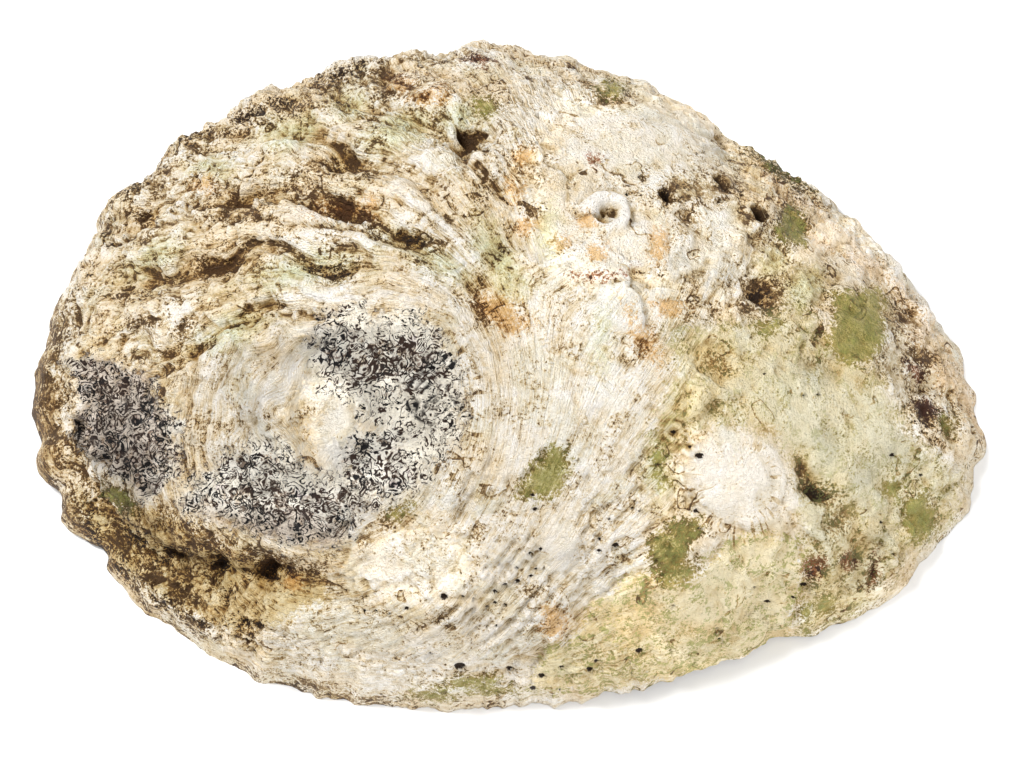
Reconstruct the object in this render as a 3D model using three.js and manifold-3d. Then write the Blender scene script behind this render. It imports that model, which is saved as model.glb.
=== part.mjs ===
// An old abalone shell, empty, lying with its mouth down.
// Millimetres, +Z up, +X towards the growing end, +Y towards the side with the breathing pores.
import * as THREE from 'three';
import { ImprovedNoise } from 'three/addons/math/ImprovedNoise.js';
import { mergeVertices } from 'three/addons/utils/BufferGeometryUtils.js';
import Module from 'manifold-3d';

const { smoothstep, lerp, degToRad, radToDeg } = THREE.MathUtils;
const wasm = await Module();
wasm.setup();

// Driving dimensions
const crownHeight = 44; // floor to the top of the back, before the relief
const spireDrop = 7; // how much lower the spire end lies than the crown
const wallThickness = 6;
const lipThickness = 3.4;

// The flat inner lip along the near side of the mouth: extra width, and where it is widest, in degrees
const shelf = { width: 8, centre: 238, spread: 52 };

// How the wall curves from the crown to the margin: a fuller back is flatter on top,
// and a lower steepness turns down harder at the edge
const nearSide = { fullness: 2.4, steepness: 0.72 };
const poreSide = { fullness: 3, steepness: 0.66 };
const growingEnd = { fullness: 1.95, steepness: 0.84 };
const growingFrom = -20; // x where the growing end's curve begins to take over
const growingTo = 70;

// The dome is drawn round this point, which lies nearer the far side than the middle of the length and width
const domeCentre = { x: 0.6, y: -8.2 };

// Margin radius round the dome's centre, every 22.5 degrees from the growing end, anticlockwise
const marginRadii = [77, 70.2, 64, 65, 65.2, 67.4, 72.8, 78.4, 78.8, 70.6, 60.8, 52.4, 49, 50.2, 56.2, 71];

// Lobes and notches of the broken margin: degrees, millimetres outwards, degrees wide.
// They begin at lobeStart of the way out.
const lobeStart = 0.8;
const marginLobes = [
  { angle: 18, rise: 1.2, spread: 3 },
  { angle: 10, rise: 1.3, spread: 3 },
  { angle: 3, rise: 1.3, spread: 2.5 },
  { angle: 357, rise: 1.6, spread: 2.5 },
  { angle: 349, rise: 1.6, spread: 3 },
  { angle: 319, rise: -1.6, spread: 2.5 },
  { angle: 186, rise: 1.4, spread: 3 },
  { angle: 194, rise: 1.4, spread: 2.5 },
  { angle: 199, rise: -1.6, spread: 2 },
  { angle: 152, rise: 1.9, spread: 2.5 },
  { angle: 140, rise: 1.2, spread: 3 },
  { angle: 129, rise: 1.2, spread: 3 },
  { angle: 117, rise: 1, spread: 3 },
  { angle: 38, rise: 1.2, spread: 4 },
];

// Stretches of the margin that arch clear of the floor. Between them it is flat and touches.
const marginArches = [
  { from: 8, to: 62, rise: 2.2 },
  { from: 80, to: 118, rise: 1.4 },
  { from: 152, to: 210, rise: 2.6 },
  { from: 268, to: 335, rise: 2 },
];

// The groove between the spire and the ledge outside it, deep along its lower half
const suture = {
  points: [
    [-74, 9], [-74.5, 0], [-73.8, -9], [-71.5, -18], [-67.3, -26.5], [-62, -32.5],
    [-55.3, -36.8], [-47, -39.8], [-38.6, -41.8], [-29.9, -42.6], [-21.6, -41],
  ],
  depth: 3.8,
  halfWidth: 2.8,
  ledgeRise: 1.4,
  ledgeOffset: 5.5,
  backing: 3.2, // how far the wall bulges into the hollow behind the groove
  backingReach: 8,
};

// The raised edge round the worn patch of the spire
const scarEdge = {
  points: [[-12, -3], [-7, -7], [-5, -16], [-4.5, -25], [-9, -33], [-16, -38]],
  rise: 1.1,
  halfWidth: 2.2,
};

// Folds that fan out over the back from the scar, wider and higher the further they run,
// and bend round the spire end. Their angles are those at the pivot.
const folds = {
  pivot: { x: 8, y: -16 },
  firstAngle: 82,
  lastAngle: 158,
  period: 12.6,
  crestAngle: 129.3,
  bend: 0.35, // degrees per millimetre of their run
  start: 18,
  fullLength: 60,
  rise: 2.4,
  sideEdges: 12, // degrees over which the first and last fold fade
  sway: 2.4, // degrees that a fold wanders
  swaySize: 14,
  knobShare: 0.6, // how uneven a fold's height is along its run
  knobSize: 12,
  flattenFrom: 0.78, // where the side turns down to the margin
  flattenTo: 0.95,
};

// Lumps, crusts and hollows on the back: place, height (hollows are negative) and how far each reaches
const growths = [
  { name: 'apex knob', x: -27, y: -9, rise: 1.7, reach: 4 },
  { name: 'worn disc', x: -12, y: -18, rise: -1.2, reach: 7 },
  { name: 'worn patch over the spire', x: -37, y: -29, rise: -1.1, reach: 9 },
  { name: 'worn patch at the end', x: -61, y: -16, rise: -1.4, reach: 7 },
  { name: 'smooth cream patch', x: -26, y: -20, rise: 0.9, reach: 5 },
  { name: 'keel knob 1', x: -61, y: 28, rise: 2.2, reach: 4 },
  { name: 'keel knob 2', x: -51, y: 37, rise: 1.4, reach: 4.5 },
  { name: 'keel knob 3', x: -41, y: 43, rise: 1.4, reach: 4.5 },
  { name: 'keel knob 4', x: -27, y: 49, rise: 1.8, reach: 4.5 },
  { name: 'keel knob 5', x: -15, y: 48, rise: 1, reach: 4.5 },
  { name: 'keel knob 6', x: -4, y: 50, rise: 0.6, reach: 4 },
  { name: 'old pore filled with mud', x: -6, y: 26, rise: -4.4, reach: 3.2 },
  { name: 'worm coil', x: -2.5, y: 20, rise: 2, reach: 3 },
  { name: 'hollow between folds 1', x: -26, y: 13, rise: -2, reach: 3.2 },
  { name: 'hollow between folds 2', x: -28, y: 23, rise: -2.2, reach: 3.4 },
  { name: 'hollow between folds 3', x: -43, y: 18, rise: -2, reach: 3.4 },
  { name: 'hollow between folds 4', x: -46, y: 8, rise: -1.8, reach: 3.4 },
  { name: 'hollow between folds 5', x: -60, y: 21, rise: -1.8, reach: 3.4 },
  { name: 'hollow between folds 6', x: -15, y: 7, rise: -2, reach: 3 },
  { name: 'white crust', x: 21, y: 29, rise: 2.2, reach: 9 },
  { name: 'barnacle rim', x: 15.3, y: 11.8, rise: 2, reach: 4.6 },
  { name: 'barnacle mouth', x: 15.3, y: 11.8, rise: -3, reach: 2.6 },
  { name: 'white blob', x: 17, y: -3, rise: 1.6, reach: 5 },
  { name: 'round white patch', x: 35, y: -29, rise: 1.3, reach: 7 },
  { name: 'oval lump', x: 9, y: -38, rise: 2, reach: 3.8 },
  { name: 'moss lump', x: 25, y: -38, rise: 1.8, reach: 4.2 },
  { name: 'cracked clump', x: 7, y: -48, rise: 1.5, reach: 3.6 },
  { name: 'lime crust', x: 28, y: -45, rise: 1.2, reach: 8 },
  { name: 'olive crust', x: 56, y: 1, rise: 1.2, reach: 6 },
  { name: 'hollow by the olive crust', x: 40, y: 3, rise: -2, reach: 3.6 },
  { name: 'moss hollow', x: 49, y: -27, rise: -1.8, reach: 3.6 },
  { name: 'growing edge lump 1', x: 63, y: 17, rise: 1.6, reach: 4.5 },
  { name: 'growing edge lump 2', x: 69, y: 8, rise: 1.6, reach: 4 },
  { name: 'growing edge lump 3', x: 68, y: -16, rise: 1.8, reach: 5 },
  { name: 'growing edge hollow', x: 68, y: -6, rise: -1.6, reach: 3.2 },
  { name: 'lower edge lump', x: 50, y: -37, rise: 1.6, reach: 4.5 },
  { name: 'far edge crest', x: 45, y: 32, rise: 1.2, reach: 4.5 },
];

// Round pits in the bottom of the groove
const groovePits = {
  places: [[-64, -30.6], [-56, -36.6], [-47.5, -39.8], [-39, -42.4]],
  depth: 1.8,
  reach: 2.6,
};

// The last breathing pores, which go right through the wall into the hollow
const pores = {
  places: [[24.8, 16.2], [33.6, 21.7], [39.8, 17]],
  outerRadius: 2.2,
  innerRadius: 1.3,
  sides: 12,
  tubercleRise: 1.3,
  tubercleReach: 4.6,
};

// Uneven surface of the whole back: size of the bumps and how high they stand
const roughness = [
  { size: 15, rise: 1.1 },
  { size: 7, rise: 0.55 },
];

// Grid cells along one side of the square that is stretched over the back, an even number
const backCells = 58;
const rimCrowding = 0.62; // draws rows of the grid towards the steep margin
const rimBand = 0.07; // part of the way in from the margin that the relief needs to rise
const samplesPerPoint = 8; // along the suture and the scar's edge
const mergeDistance = 1e-4;

const noise = new ImprovedNoise();
const fullTurn = 2 * Math.PI;
const marginLoop = new THREE.CatmullRomCurve3(
  marginRadii.map((radius) => new THREE.Vector3(radius, 0, 0)),
  true,
  'catmullrom',
  0.5,
);

function hump(distance, reach) {
  return Math.exp(-((distance / reach) ** 2));
}

function angleBetween(a, b) {
  return Math.abs(((a - b + 540) % 360) - 180);
}

function marginRadius(degrees) {
  return marginLoop.getPoint(degrees / 360).x;
}

function marginLobeRise(degrees) {
  let total = 0;
  for (const lobe of marginLobes) {
    total += lobe.rise * hump(angleBetween(degrees, lobe.angle), lobe.spread);
  }
  return total;
}

function marginHeight(degrees) {
  for (const arch of marginArches) {
    if (degrees > arch.from && degrees < arch.to) {
      const along = (degrees - arch.from) / (arch.to - arch.from);
      return arch.rise * Math.sin(Math.PI * along) ** 2;
    }
  }
  return 0;
}

// Place on a domed surface: part of the way to its edge, and degrees round it
function domePoint(part, degrees, inset, thickness) {
  const lobes = marginLobeRise(degrees) * smoothstep(part, lobeStart, 1);
  const radius = (marginRadius(degrees) + lobes - inset) * part;
  const x = domeCentre.x + radius * Math.cos(degToRad(degrees));
  const y = domeCentre.y + radius * Math.sin(degToRad(degrees));
  const growing = smoothstep(x, growingFrom, growingTo);
  const far = smoothstep(Math.sin(degToRad(degrees)), 0, 0.8) * (1 - growing);
  const fullness = lerp(lerp(nearSide.fullness, poreSide.fullness, far), growingEnd.fullness, growing);
  const steepness = lerp(lerp(nearSide.steepness, poreSide.steepness, far), growingEnd.steepness, growing);
  const crown = crownHeight - thickness - spireDrop * smoothstep(-x, 5, 75);
  const edge = marginHeight(degrees);
  const z = edge + (crown - edge) * Math.max(0, 1 - part ** fullness) ** steepness;
  return new THREE.Vector3(x, y, z);
}

function sampledLine(points) {
  const curve = new THREE.SplineCurve(points.map(([x, y]) => new THREE.Vector2(x, y)));
  return curve.getPoints(points.length * samplesPerPoint);
}

// Nearest sample of a line: how far it is, on which side, and how far along (0 to 1)
function nearestOnLine(line, x, y) {
  let best = { distance: Infinity, side: 1, along: 0 };
  for (let i = 0; i < line.length - 1; i += 1) {
    const distance = Math.hypot(x - line[i].x, y - line[i].y);
    if (distance < best.distance) {
      const dx = line[i + 1].x - line[i].x;
      const dy = line[i + 1].y - line[i].y;
      const side = Math.sign(dx * (y - line[i].y) - dy * (x - line[i].x));
      best = { distance, side, along: i / (line.length - 1) };
    }
  }
  return best;
}

const sutureLine = sampledLine(suture.points);
const scarLine = sampledLine(scarEdge.points);

function fadedEnds(along) {
  return smoothstep(along, 0, 0.2) * (1 - smoothstep(along, 0.8, 1));
}

// The suture is drawn anticlockwise, so its right-hand side is the ledge
function sutureRelief(x, y) {
  const near = nearestOnLine(sutureLine, x, y);
  const outward = -near.side * near.distance;
  const groove = -suture.depth * hump(near.distance, suture.halfWidth);
  const ledge = suture.ledgeRise * hump(outward - suture.ledgeOffset, suture.halfWidth);
  return (groove + ledge) * fadedEnds(near.along);
}

function hollowRelief(x, y) {
  const near = nearestOnLine(sutureLine, x, y);
  return -suture.backing * hump(near.distance, suture.backingReach) * fadedEnds(near.along);
}

function scarRelief(x, y) {
  const near = nearestOnLine(scarLine, x, y);
  return scarEdge.rise * hump(near.distance, scarEdge.halfWidth) * fadedEnds(near.along);
}

// Folds flatten out where the side turns down to the margin
function foldRelief(x, y, part) {
  const dx = x - folds.pivot.x;
  const dy = y - folds.pivot.y;
  const run = Math.hypot(dx, dy);
  const turn = (radToDeg(Math.atan2(dy, dx)) + 360) % 360;
  const sway = folds.sway * noise.noise(x / folds.swaySize, y / folds.swaySize, folds.swaySize);
  const degrees = turn - folds.bend * run + sway;
  const wave = 0.5 + 0.5 * Math.cos((fullTurn * (degrees - folds.crestAngle)) / folds.period);
  const inFan = smoothstep(degrees, folds.firstAngle, folds.firstAngle + folds.sideEdges)
    * (1 - smoothstep(degrees, folds.lastAngle - folds.sideEdges, folds.lastAngle));
  const growth = smoothstep(run, folds.start, folds.fullLength);
  const flattening = 1 - smoothstep(part, folds.flattenFrom, folds.flattenTo);
  const knobs = 1 + folds.knobShare * noise.noise(x / folds.knobSize, y / folds.knobSize, folds.knobSize);
  return folds.rise * growth * flattening * inFan * (knobs * wave - 0.5);
}

function growthRelief(x, y) {
  let total = 0;
  for (const spot of growths) {
    total += spot.rise * hump(Math.hypot(x - spot.x, y - spot.y), spot.reach);
  }
  for (const [px, py] of groovePits.places) {
    total -= groovePits.depth * hump(Math.hypot(x - px, y - py), groovePits.reach);
  }
  for (const [px, py] of pores.places) {
    total += pores.tubercleRise * hump(Math.hypot(x - px, y - py), pores.tubercleReach);
  }
  return total;
}

function roughRelief(x, y) {
  let total = 0;
  for (const layer of roughness) {
    total += layer.rise * noise.noise(x / layer.size, y / layer.size, layer.size);
  }
  return total;
}

function backRelief(x, y, part) {
  const whorl = sutureRelief(x, y) + scarRelief(x, y) + foldRelief(x, y, part);
  return whorl + growthRelief(x, y) + roughRelief(x, y);
}

// A square grid pressed into a disc: each corner of the grid gets its part of the way out and its angle
function discGrid(cells) {
  const places = [];
  for (let row = 0; row <= cells; row += 1) {
    for (let column = 0; column <= cells; column += 1) {
      const u = (2 * column) / cells - 1;
      const v = (2 * row) / cells - 1;
      const x = u * Math.sqrt(1 - (v * v) / 2);
      const y = v * Math.sqrt(1 - (u * u) / 2);
      const straight = Math.min(1, Math.hypot(x, y));
      const part = lerp(straight, Math.sin((straight * Math.PI) / 2), rimCrowding);
      const degrees = (radToDeg(Math.atan2(y, x)) + 360) % 360;
      places.push({ part, degrees });
    }
  }
  return places;
}

// Each cell is split along its shorter diagonal, so that ridges and grooves don't turn to saw teeth
function gridTriangles(points, cells) {
  const triangles = [];
  for (let row = 0; row < cells; row += 1) {
    for (let column = 0; column < cells; column += 1) {
      const a = row * (cells + 1) + column;
      const b = a + 1;
      const c = b + cells + 1;
      const d = c - 1;
      if (points[a].distanceTo(points[c]) < points[b].distanceTo(points[d])) {
        triangles.push(a, b, c, a, c, d);
      } else {
        triangles.push(a, b, d, b, c, d);
      }
    }
  }
  return triangles;
}

// Corners of the grid's edge in order, anticlockwise
function edgeLoop(cells) {
  const at = (row, column) => row * (cells + 1) + column;
  const loop = [];
  for (let i = 0; i < cells; i += 1) loop.push(at(0, i));
  for (let i = 0; i < cells; i += 1) loop.push(at(i, cells));
  for (let i = cells; i > 0; i -= 1) loop.push(at(cells, i));
  for (let i = cells; i > 0; i -= 1) loop.push(at(i, 0));
  return loop;
}

function geometryFrom(points, triangles) {
  const geometry = new THREE.BufferGeometry();
  geometry.setFromPoints(points);
  geometry.setIndex(triangles);
  return geometry;
}

// Points of a dome moved along its normals by a relief, which fades out towards the margin
function reliefPoints(cells, places, points, reliefAt) {
  const smooth = geometryFrom(points, gridTriangles(points, cells));
  smooth.computeVertexNormals();
  const normals = smooth.getAttribute('normal');
  return points.map((point, i) => {
    const fade = smoothstep(1 - places[i].part, 0, rimBand);
    const normal = new THREE.Vector3().fromBufferAttribute(normals, i);
    return point.clone().addScaledVector(normal, reliefAt(point.x, point.y, places[i].part) * fade);
  });
}

function backPoints() {
  const places = discGrid(backCells);
  const points = places.map(({ part, degrees }) => domePoint(part, degrees, 0, 0));
  return reliefPoints(backCells, places, points, backRelief);
}

function lipWidth(degrees) {
  return lipThickness + shelf.width * hump(angleBetween(degrees, shelf.centre), shelf.spread);
}

function hollowPoints() {
  const places = discGrid(backCells / 2);
  const points = places.map(({ part, degrees }) => domePoint(part, degrees, lipWidth(degrees), wallThickness));
  return reliefPoints(backCells / 2, places, points, hollowRelief);
}

// Back, hollow and the rim between them, as one closed surface
function shellGeometry() {
  const back = backPoints();
  const hollow = hollowPoints();
  const triangles = gridTriangles(back, backCells);
  const hollowTriangles = gridTriangles(hollow, backCells / 2);
  for (let i = 0; i < hollowTriangles.length; i += 3) {
    const [a, b, c] = hollowTriangles.slice(i, i + 3);
    triangles.push(back.length + a, back.length + c, back.length + b);
  }
  const outer = edgeLoop(backCells);
  const inner = edgeLoop(backCells / 2).map((corner) => back.length + corner);
  for (let i = 0; i < inner.length; i += 1) {
    const next = (i + 1) % inner.length;
    const [first, middle, last] = [outer[2 * i], outer[2 * i + 1], outer[(2 * i + 2) % outer.length]];
    triangles.push(middle, first, inner[i]);
    triangles.push(middle, inner[i], inner[next]);
    triangles.push(last, middle, inner[next]);
  }
  return geometryFrom([...back, ...hollow], triangles);
}

function toSolid(geometry) {
  const bare = geometry.clone();
  bare.deleteAttribute('normal');
  bare.deleteAttribute('uv');
  const merged = mergeVertices(bare, mergeDistance);
  const vertProperties = new Float32Array(merged.getAttribute('position').array);
  const triVerts = new Uint32Array(merged.getIndex().array);
  return new wasm.Manifold(new wasm.Mesh({ numProp: 3, vertProperties, triVerts }));
}

function toGeometry(solid) {
  const { vertProperties, triVerts } = solid.getMesh();
  const geometry = new THREE.BufferGeometry();
  geometry.setAttribute('position', new THREE.BufferAttribute(new Float32Array(vertProperties), 3));
  geometry.setIndex(Array.from(triVerts));
  geometry.computeVertexNormals();
  return geometry;
}

// A tapered plug that stands square to the back and cuts one pore
function poreCutter([x, y]) {
  const dx = x - domeCentre.x;
  const dy = y - domeCentre.y;
  const degrees = (radToDeg(Math.atan2(dy, dx)) + 360) % 360;
  const part = Math.hypot(dx, dy) / marginRadius(degrees);
  const centre = domePoint(part, degrees, 0, 0);
  const along = domePoint(part + 0.02, degrees, 0, 0).sub(centre);
  const across = domePoint(part, degrees + 2, 0, 0).sub(centre);
  const normal = along.cross(across).normalize();
  const length = 4 * wallThickness;
  const cutter = new THREE.CylinderGeometry(pores.outerRadius, pores.innerRadius, length, pores.sides);
  cutter.applyQuaternion(new THREE.Quaternion().setFromUnitVectors(new THREE.Vector3(0, 1, 0), normal));
  cutter.translate(centre.x, centre.y, centre.z);
  return toSolid(cutter);
}

function makeShell() {
  let solid = toSolid(shellGeometry());
  for (const place of pores.places) {
    solid = solid.subtract(poreCutter(place));
  }
  const geometry = toGeometry(solid);
  geometry.computeBoundingBox();
  const box = geometry.boundingBox;
  geometry.translate(-(box.min.x + box.max.x) / 2, -(box.min.y + box.max.y) / 2, -box.min.z);
  const material = new THREE.MeshStandardMaterial({ color: 0xded2b8, roughness: 0.85, metalness: 0 });
  const mesh = new THREE.Mesh(geometry, material);
  mesh.name = 'shell';
  return mesh;
}

const abaloneShell = new THREE.Group();
abaloneShell.name = 'abalone_shell';
abaloneShell.add(makeShell());

export default abaloneShell;
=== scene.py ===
# An old abalone shell lying mouth down on a pale floor, seen from its back.
import math
import bpy
import numpy as np
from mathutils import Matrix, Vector
from mathutils.kdtree import KDTree


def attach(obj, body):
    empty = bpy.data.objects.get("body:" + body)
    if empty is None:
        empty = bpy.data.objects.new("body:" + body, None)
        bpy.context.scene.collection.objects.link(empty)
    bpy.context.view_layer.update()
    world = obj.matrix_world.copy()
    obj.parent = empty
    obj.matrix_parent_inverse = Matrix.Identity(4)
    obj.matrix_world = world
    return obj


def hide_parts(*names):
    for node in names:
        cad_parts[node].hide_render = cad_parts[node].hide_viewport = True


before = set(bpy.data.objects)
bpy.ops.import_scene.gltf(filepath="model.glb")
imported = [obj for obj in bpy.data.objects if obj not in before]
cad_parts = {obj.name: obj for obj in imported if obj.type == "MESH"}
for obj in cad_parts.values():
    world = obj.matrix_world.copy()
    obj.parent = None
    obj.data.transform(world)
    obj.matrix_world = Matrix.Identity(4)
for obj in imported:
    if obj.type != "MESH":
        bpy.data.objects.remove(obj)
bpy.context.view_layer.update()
mm = 0.001
print("frame loaded")

# The camera of the photograph. Lengths in this script are millimetres, pixels are in its 1024 x 767 frame.
photoView = {
    "width": 1024,
    "height": 767,
    "elevation": 70.0,
    "distance": 461.7,
    "target": (0.65, -6.68, 14.36),
    "lens": 100.0,
    "sensor": 36.0,
    "pixelsPerMm": 6.15,        # at the height of the back
}


def viewAxes():
    tilt = math.radians(photoView["elevation"])
    back = np.array([0.0, -math.cos(tilt), math.sin(tilt)])
    right = np.array([1.0, 0.0, 0.0])
    return right, np.cross(back, right), back


def photoPixels(points):
    # where points of the shell land in the photograph
    right, up, back = viewAxes()
    away = points - (np.array(photoView["target"]) + back * photoView["distance"])
    scale = photoView["lens"] / photoView["sensor"] * photoView["width"] / -(away @ back)
    across = photoView["width"] / 2 + away @ right * scale
    down = photoView["height"] / 2 - away @ up * scale
    return np.stack([across, down], 1)


def addCamera():
    back = viewAxes()[2]
    data = bpy.data.cameras.new("photoCamera")
    data.lens = photoView["lens"]
    data.sensor_width = photoView["sensor"]
    data.clip_start = 0.01
    camera = bpy.data.objects.new("photoCamera", data)
    camera.location = (np.array(photoView["target"]) + back * photoView["distance"]) * mm
    camera.rotation_euler = (math.radians(90 - photoView["elevation"]), 0, 0)
    bpy.context.scene.collection.objects.link(camera)
    bpy.context.scene.camera = camera


addCamera()
print("camera placed")


# Small tools for shapes

def smooth(value, low, high):
    t = np.clip((value - low) / (high - low), 0, 1)
    return t * t * (3 - 2 * t)


def mix(a, b, share):
    return a + (b - a) * share


def hump(distance, reach):
    return np.exp(-((distance / reach) ** 2))


def turnBetween(a, b):
    return np.abs((a - b + 540) % 360 - 180)


def hills(points, size, seed):
    # smooth random hills from about -1 to 1, one to each size
    rng = np.random.default_rng(seed)
    shuffle = np.tile(rng.permutation(256), 3)
    slopes = rng.normal(size=(256, 3))
    slopes /= np.linalg.norm(slopes, axis=1, keepdims=True)
    place = points / size + 97.3
    cell = np.floor(place).astype(int)
    inside = place - cell
    weight = inside ** 3 * (inside * (inside * 6 - 15) + 10)
    total = np.zeros(len(points))
    for corner in range(8):
        step = np.array([corner & 1, corner >> 1 & 1, corner >> 2 & 1])
        at = (cell + step) & 255
        pick = shuffle[shuffle[shuffle[at[:, 0]] + at[:, 1]] + at[:, 2]]
        share = np.prod(np.where(step, weight, 1 - weight), axis=1)
        total += share * np.sum((inside - step) * slopes[pick], axis=1)
    return total * 1.7


def addHills(total, points, layers):
    # each layer is its height, size and seed
    for height, size, seed in layers:
        total = total + height * hills(points, size, seed)
    return total


def rough(points, size, octaves, seed, fall=0.5, form=np.positive):
    # hills of halving size, each size weaker than the last
    total = np.zeros(len(points))
    strength = 1.0
    for octave in range(octaves):
        total += strength * form(hills(points, size / 2 ** octave, seed + octave))
        strength *= fall
    return total


def ridges(points, size, octaves, seed, fall=0.5):
    # sharp crests between round hollows, 0 to about 1
    return rough(points, size, octaves, seed, fall, lambda hill: 1 - np.abs(hill) * 1.6) / (2 - fall)


def billows(points, size, octaves, seed, fall=0.5):
    # round swellings with sharp creases between them, 0 to about 1
    return rough(points, size, octaves, seed, fall, lambda hill: np.abs(hill) * 1.6) / (2 - fall)


def flakes(x, y, size, seed):
    # irregular flakes side by side: a random value for each, and how far inside its edge a point lies
    rng = np.random.default_rng(seed)
    table = rng.random((64, 64, 3))
    cx, cy = np.floor(x / size).astype(int), np.floor(y / size).astype(int)
    first = np.full(len(x), 9.0)
    second = np.full(len(x), 9.0)
    value = np.zeros(len(x))
    for i in (-1, 0, 1):
        for j in (-1, 0, 1):
            spot = table[(cx + i) & 63, (cy + j) & 63]
            gap = np.hypot(cx + i + spot[:, 0] - x / size, cy + j + spot[:, 1] - y / size)
            nearer = gap < first
            second = np.where(nearer, first, np.minimum(second, gap))
            value = np.where(nearer, spot[:, 2], value)
            first = np.where(nearer, gap, first)
    return value, (second - first) * size / 2


# The form of the shell, with the same values as the solid
shellForm = {
    "crownHeight": 44.0,
    "spireDrop": 7.0,
    "wall": 6.0,
    "lip": 3.4,
    "shelf": (8.0, 238.0, 52.0),    # extra width, where it is widest and how far round it goes
    "nearSide": (2.4, 0.72),        # fullness and steepness of the curve from crown to margin
    "poreSide": (3.0, 0.66),
    "growingEnd": (1.95, 0.84),
    "growingRange": (-20.0, 70.0),
    "centre": (0.6, -8.2),
    "marginRadii": (77, 70.2, 64, 65, 65.2, 67.4, 72.8, 78.4, 78.8, 70.6, 60.8, 52.4, 49, 50.2, 56.2, 71),
    "lobes": (                      # degrees round the margin, millimetres out, degrees wide
        (18, 1.2, 3), (10, 1.3, 3), (3, 1.3, 2.5), (357, 1.6, 2.5), (349, 1.6, 3), (319, -1.6, 2.5),
        (186, 1.4, 3), (194, 1.4, 2.5), (199, -1.6, 2), (152, 1.9, 2.5), (140, 1.2, 3), (129, 1.2, 3),
        (117, 1.0, 3), (38, 1.2, 4),
    ),
    "crumbling": 0.9,               # how ragged the margin is between its lobes
    "arches": ((8, 62, 2.2), (80, 118, 1.4), (152, 210, 2.6), (268, 335, 2.0)),
    "backCells": 288,
    "hollowCells": 96,
    "rimCrowding": 0.62,
    "rimBand": 0.07,
    "swells": ((0.9, 15.0, 21), (0.5, 7.0, 22)),            # height, size and seed
    "hollowSwells": ((0.5, 14.0, 61), (0.15, 5.0, 62)),
}


def marginRadius(degrees):
    radii = np.array(shellForm["marginRadii"], float)
    count = len(radii)
    place = degrees / 360 * count
    i = np.floor(place).astype(int) % count
    t = place - np.floor(place)
    before, here, after, beyond = (radii[(i + k) % count] for k in (-1, 0, 1, 2))
    leave, arrive = (after - before) / 2, (beyond - here) / 2
    cube = 2 * here - 2 * after + leave + arrive
    square = -3 * here + 3 * after - 2 * leave - arrive
    return here + t * (leave + t * (square + t * cube))


def marginLobes(degrees):
    total = np.zeros(len(degrees))
    for angle, rise, spread in shellForm["lobes"]:
        total += rise * hump(turnBetween(degrees, angle), spread)
    turn = np.radians(degrees)
    ring = np.stack([70 * np.cos(turn), 70 * np.sin(turn), 0 * turn], 1)
    return total + shellForm["crumbling"] * rough(ring, 6.0, 3, 71, 0.6)


def marginHeight(degrees):
    height = np.zeros(len(degrees))
    for start, end, rise in shellForm["arches"]:
        along = np.clip((degrees - start) / (end - start), 0, 1)
        height += rise * np.sin(math.pi * along) ** 2
    return height


def domePoints(part, degrees, inset, thickness):
    turn = np.radians(degrees)
    radius = (marginRadius(degrees) + marginLobes(degrees) * smooth(part, 0.8, 1) - inset) * part
    x = shellForm["centre"][0] + radius * np.cos(turn)
    y = shellForm["centre"][1] + radius * np.sin(turn)
    growing = smooth(x, *shellForm["growingRange"])
    far = smooth(np.sin(turn), 0, 0.8) * (1 - growing)
    near, pore, end = (shellForm[side] for side in ("nearSide", "poreSide", "growingEnd"))
    fullness = mix(mix(near[0], pore[0], far), end[0], growing)
    steepness = mix(mix(near[1], pore[1], far), end[1], growing)
    crown = shellForm["crownHeight"] - thickness - shellForm["spireDrop"] * smooth(-x, 5, 75)
    edge = marginHeight(degrees)
    z = edge + (crown - edge) * np.maximum(0, 1 - part ** fullness) ** steepness
    return np.stack([x, y, z], 1)


def discGrid(cells):
    # a square grid pressed into a disc: part of the way out, and degrees round
    line = np.linspace(-1, 1, cells + 1)
    u, v = np.meshgrid(line, line)
    x = (u * np.sqrt(1 - v * v / 2)).ravel()
    y = (v * np.sqrt(1 - u * u / 2)).ravel()
    straight = np.minimum(1, np.hypot(x, y))
    part = mix(straight, np.sin(straight * math.pi / 2), shellForm["rimCrowding"])
    return part, np.degrees(np.arctan2(y, x)) % 360


def gridNormals(points, cells):
    net = points.reshape(cells + 1, cells + 1, 3)
    normals = np.cross(np.gradient(net, axis=1), np.gradient(net, axis=0)).reshape(-1, 3)
    return normals / np.maximum(np.linalg.norm(normals, axis=1, keepdims=True), 1e-9)


def gridTriangles(points, cells):
    # each cell is split along its shorter diagonal
    corner = np.arange((cells + 1) ** 2).reshape(cells + 1, cells + 1)
    a, b = corner[:-1, :-1].ravel(), corner[:-1, 1:].ravel()
    c, d = corner[1:, 1:].ravel(), corner[1:, :-1].ravel()
    gapA = np.linalg.norm(points[a] - points[c], axis=1)
    gapB = np.linalg.norm(points[b] - points[d], axis=1)
    first = (gapA < gapB)[:, None]
    one = np.where(first, np.stack([a, b, c], 1), np.stack([a, b, d], 1))
    two = np.where(first, np.stack([a, c, d], 1), np.stack([b, c, d], 1))
    return np.concatenate([one, two])


def edgeLoop(cells):
    corner = np.arange((cells + 1) ** 2).reshape(cells + 1, cells + 1)
    return np.concatenate([corner[0, :-1], corner[:-1, -1], corner[-1, :0:-1], corner[:0:-1, 0]])


def blurred(values, cells, reach):
    # softens a value over the grid, reach in cells
    net = values.reshape(cells + 1, cells + 1)
    width = 2 * reach + 1
    for _ in range(4):
        net = net.T
        padded = np.pad(net, ((reach + 1, reach), (0, 0)), mode="edge")
        sums = np.cumsum(padded, axis=0)
        net = (sums[width:] - sums[:-width]) / width
    return net.ravel()


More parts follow.
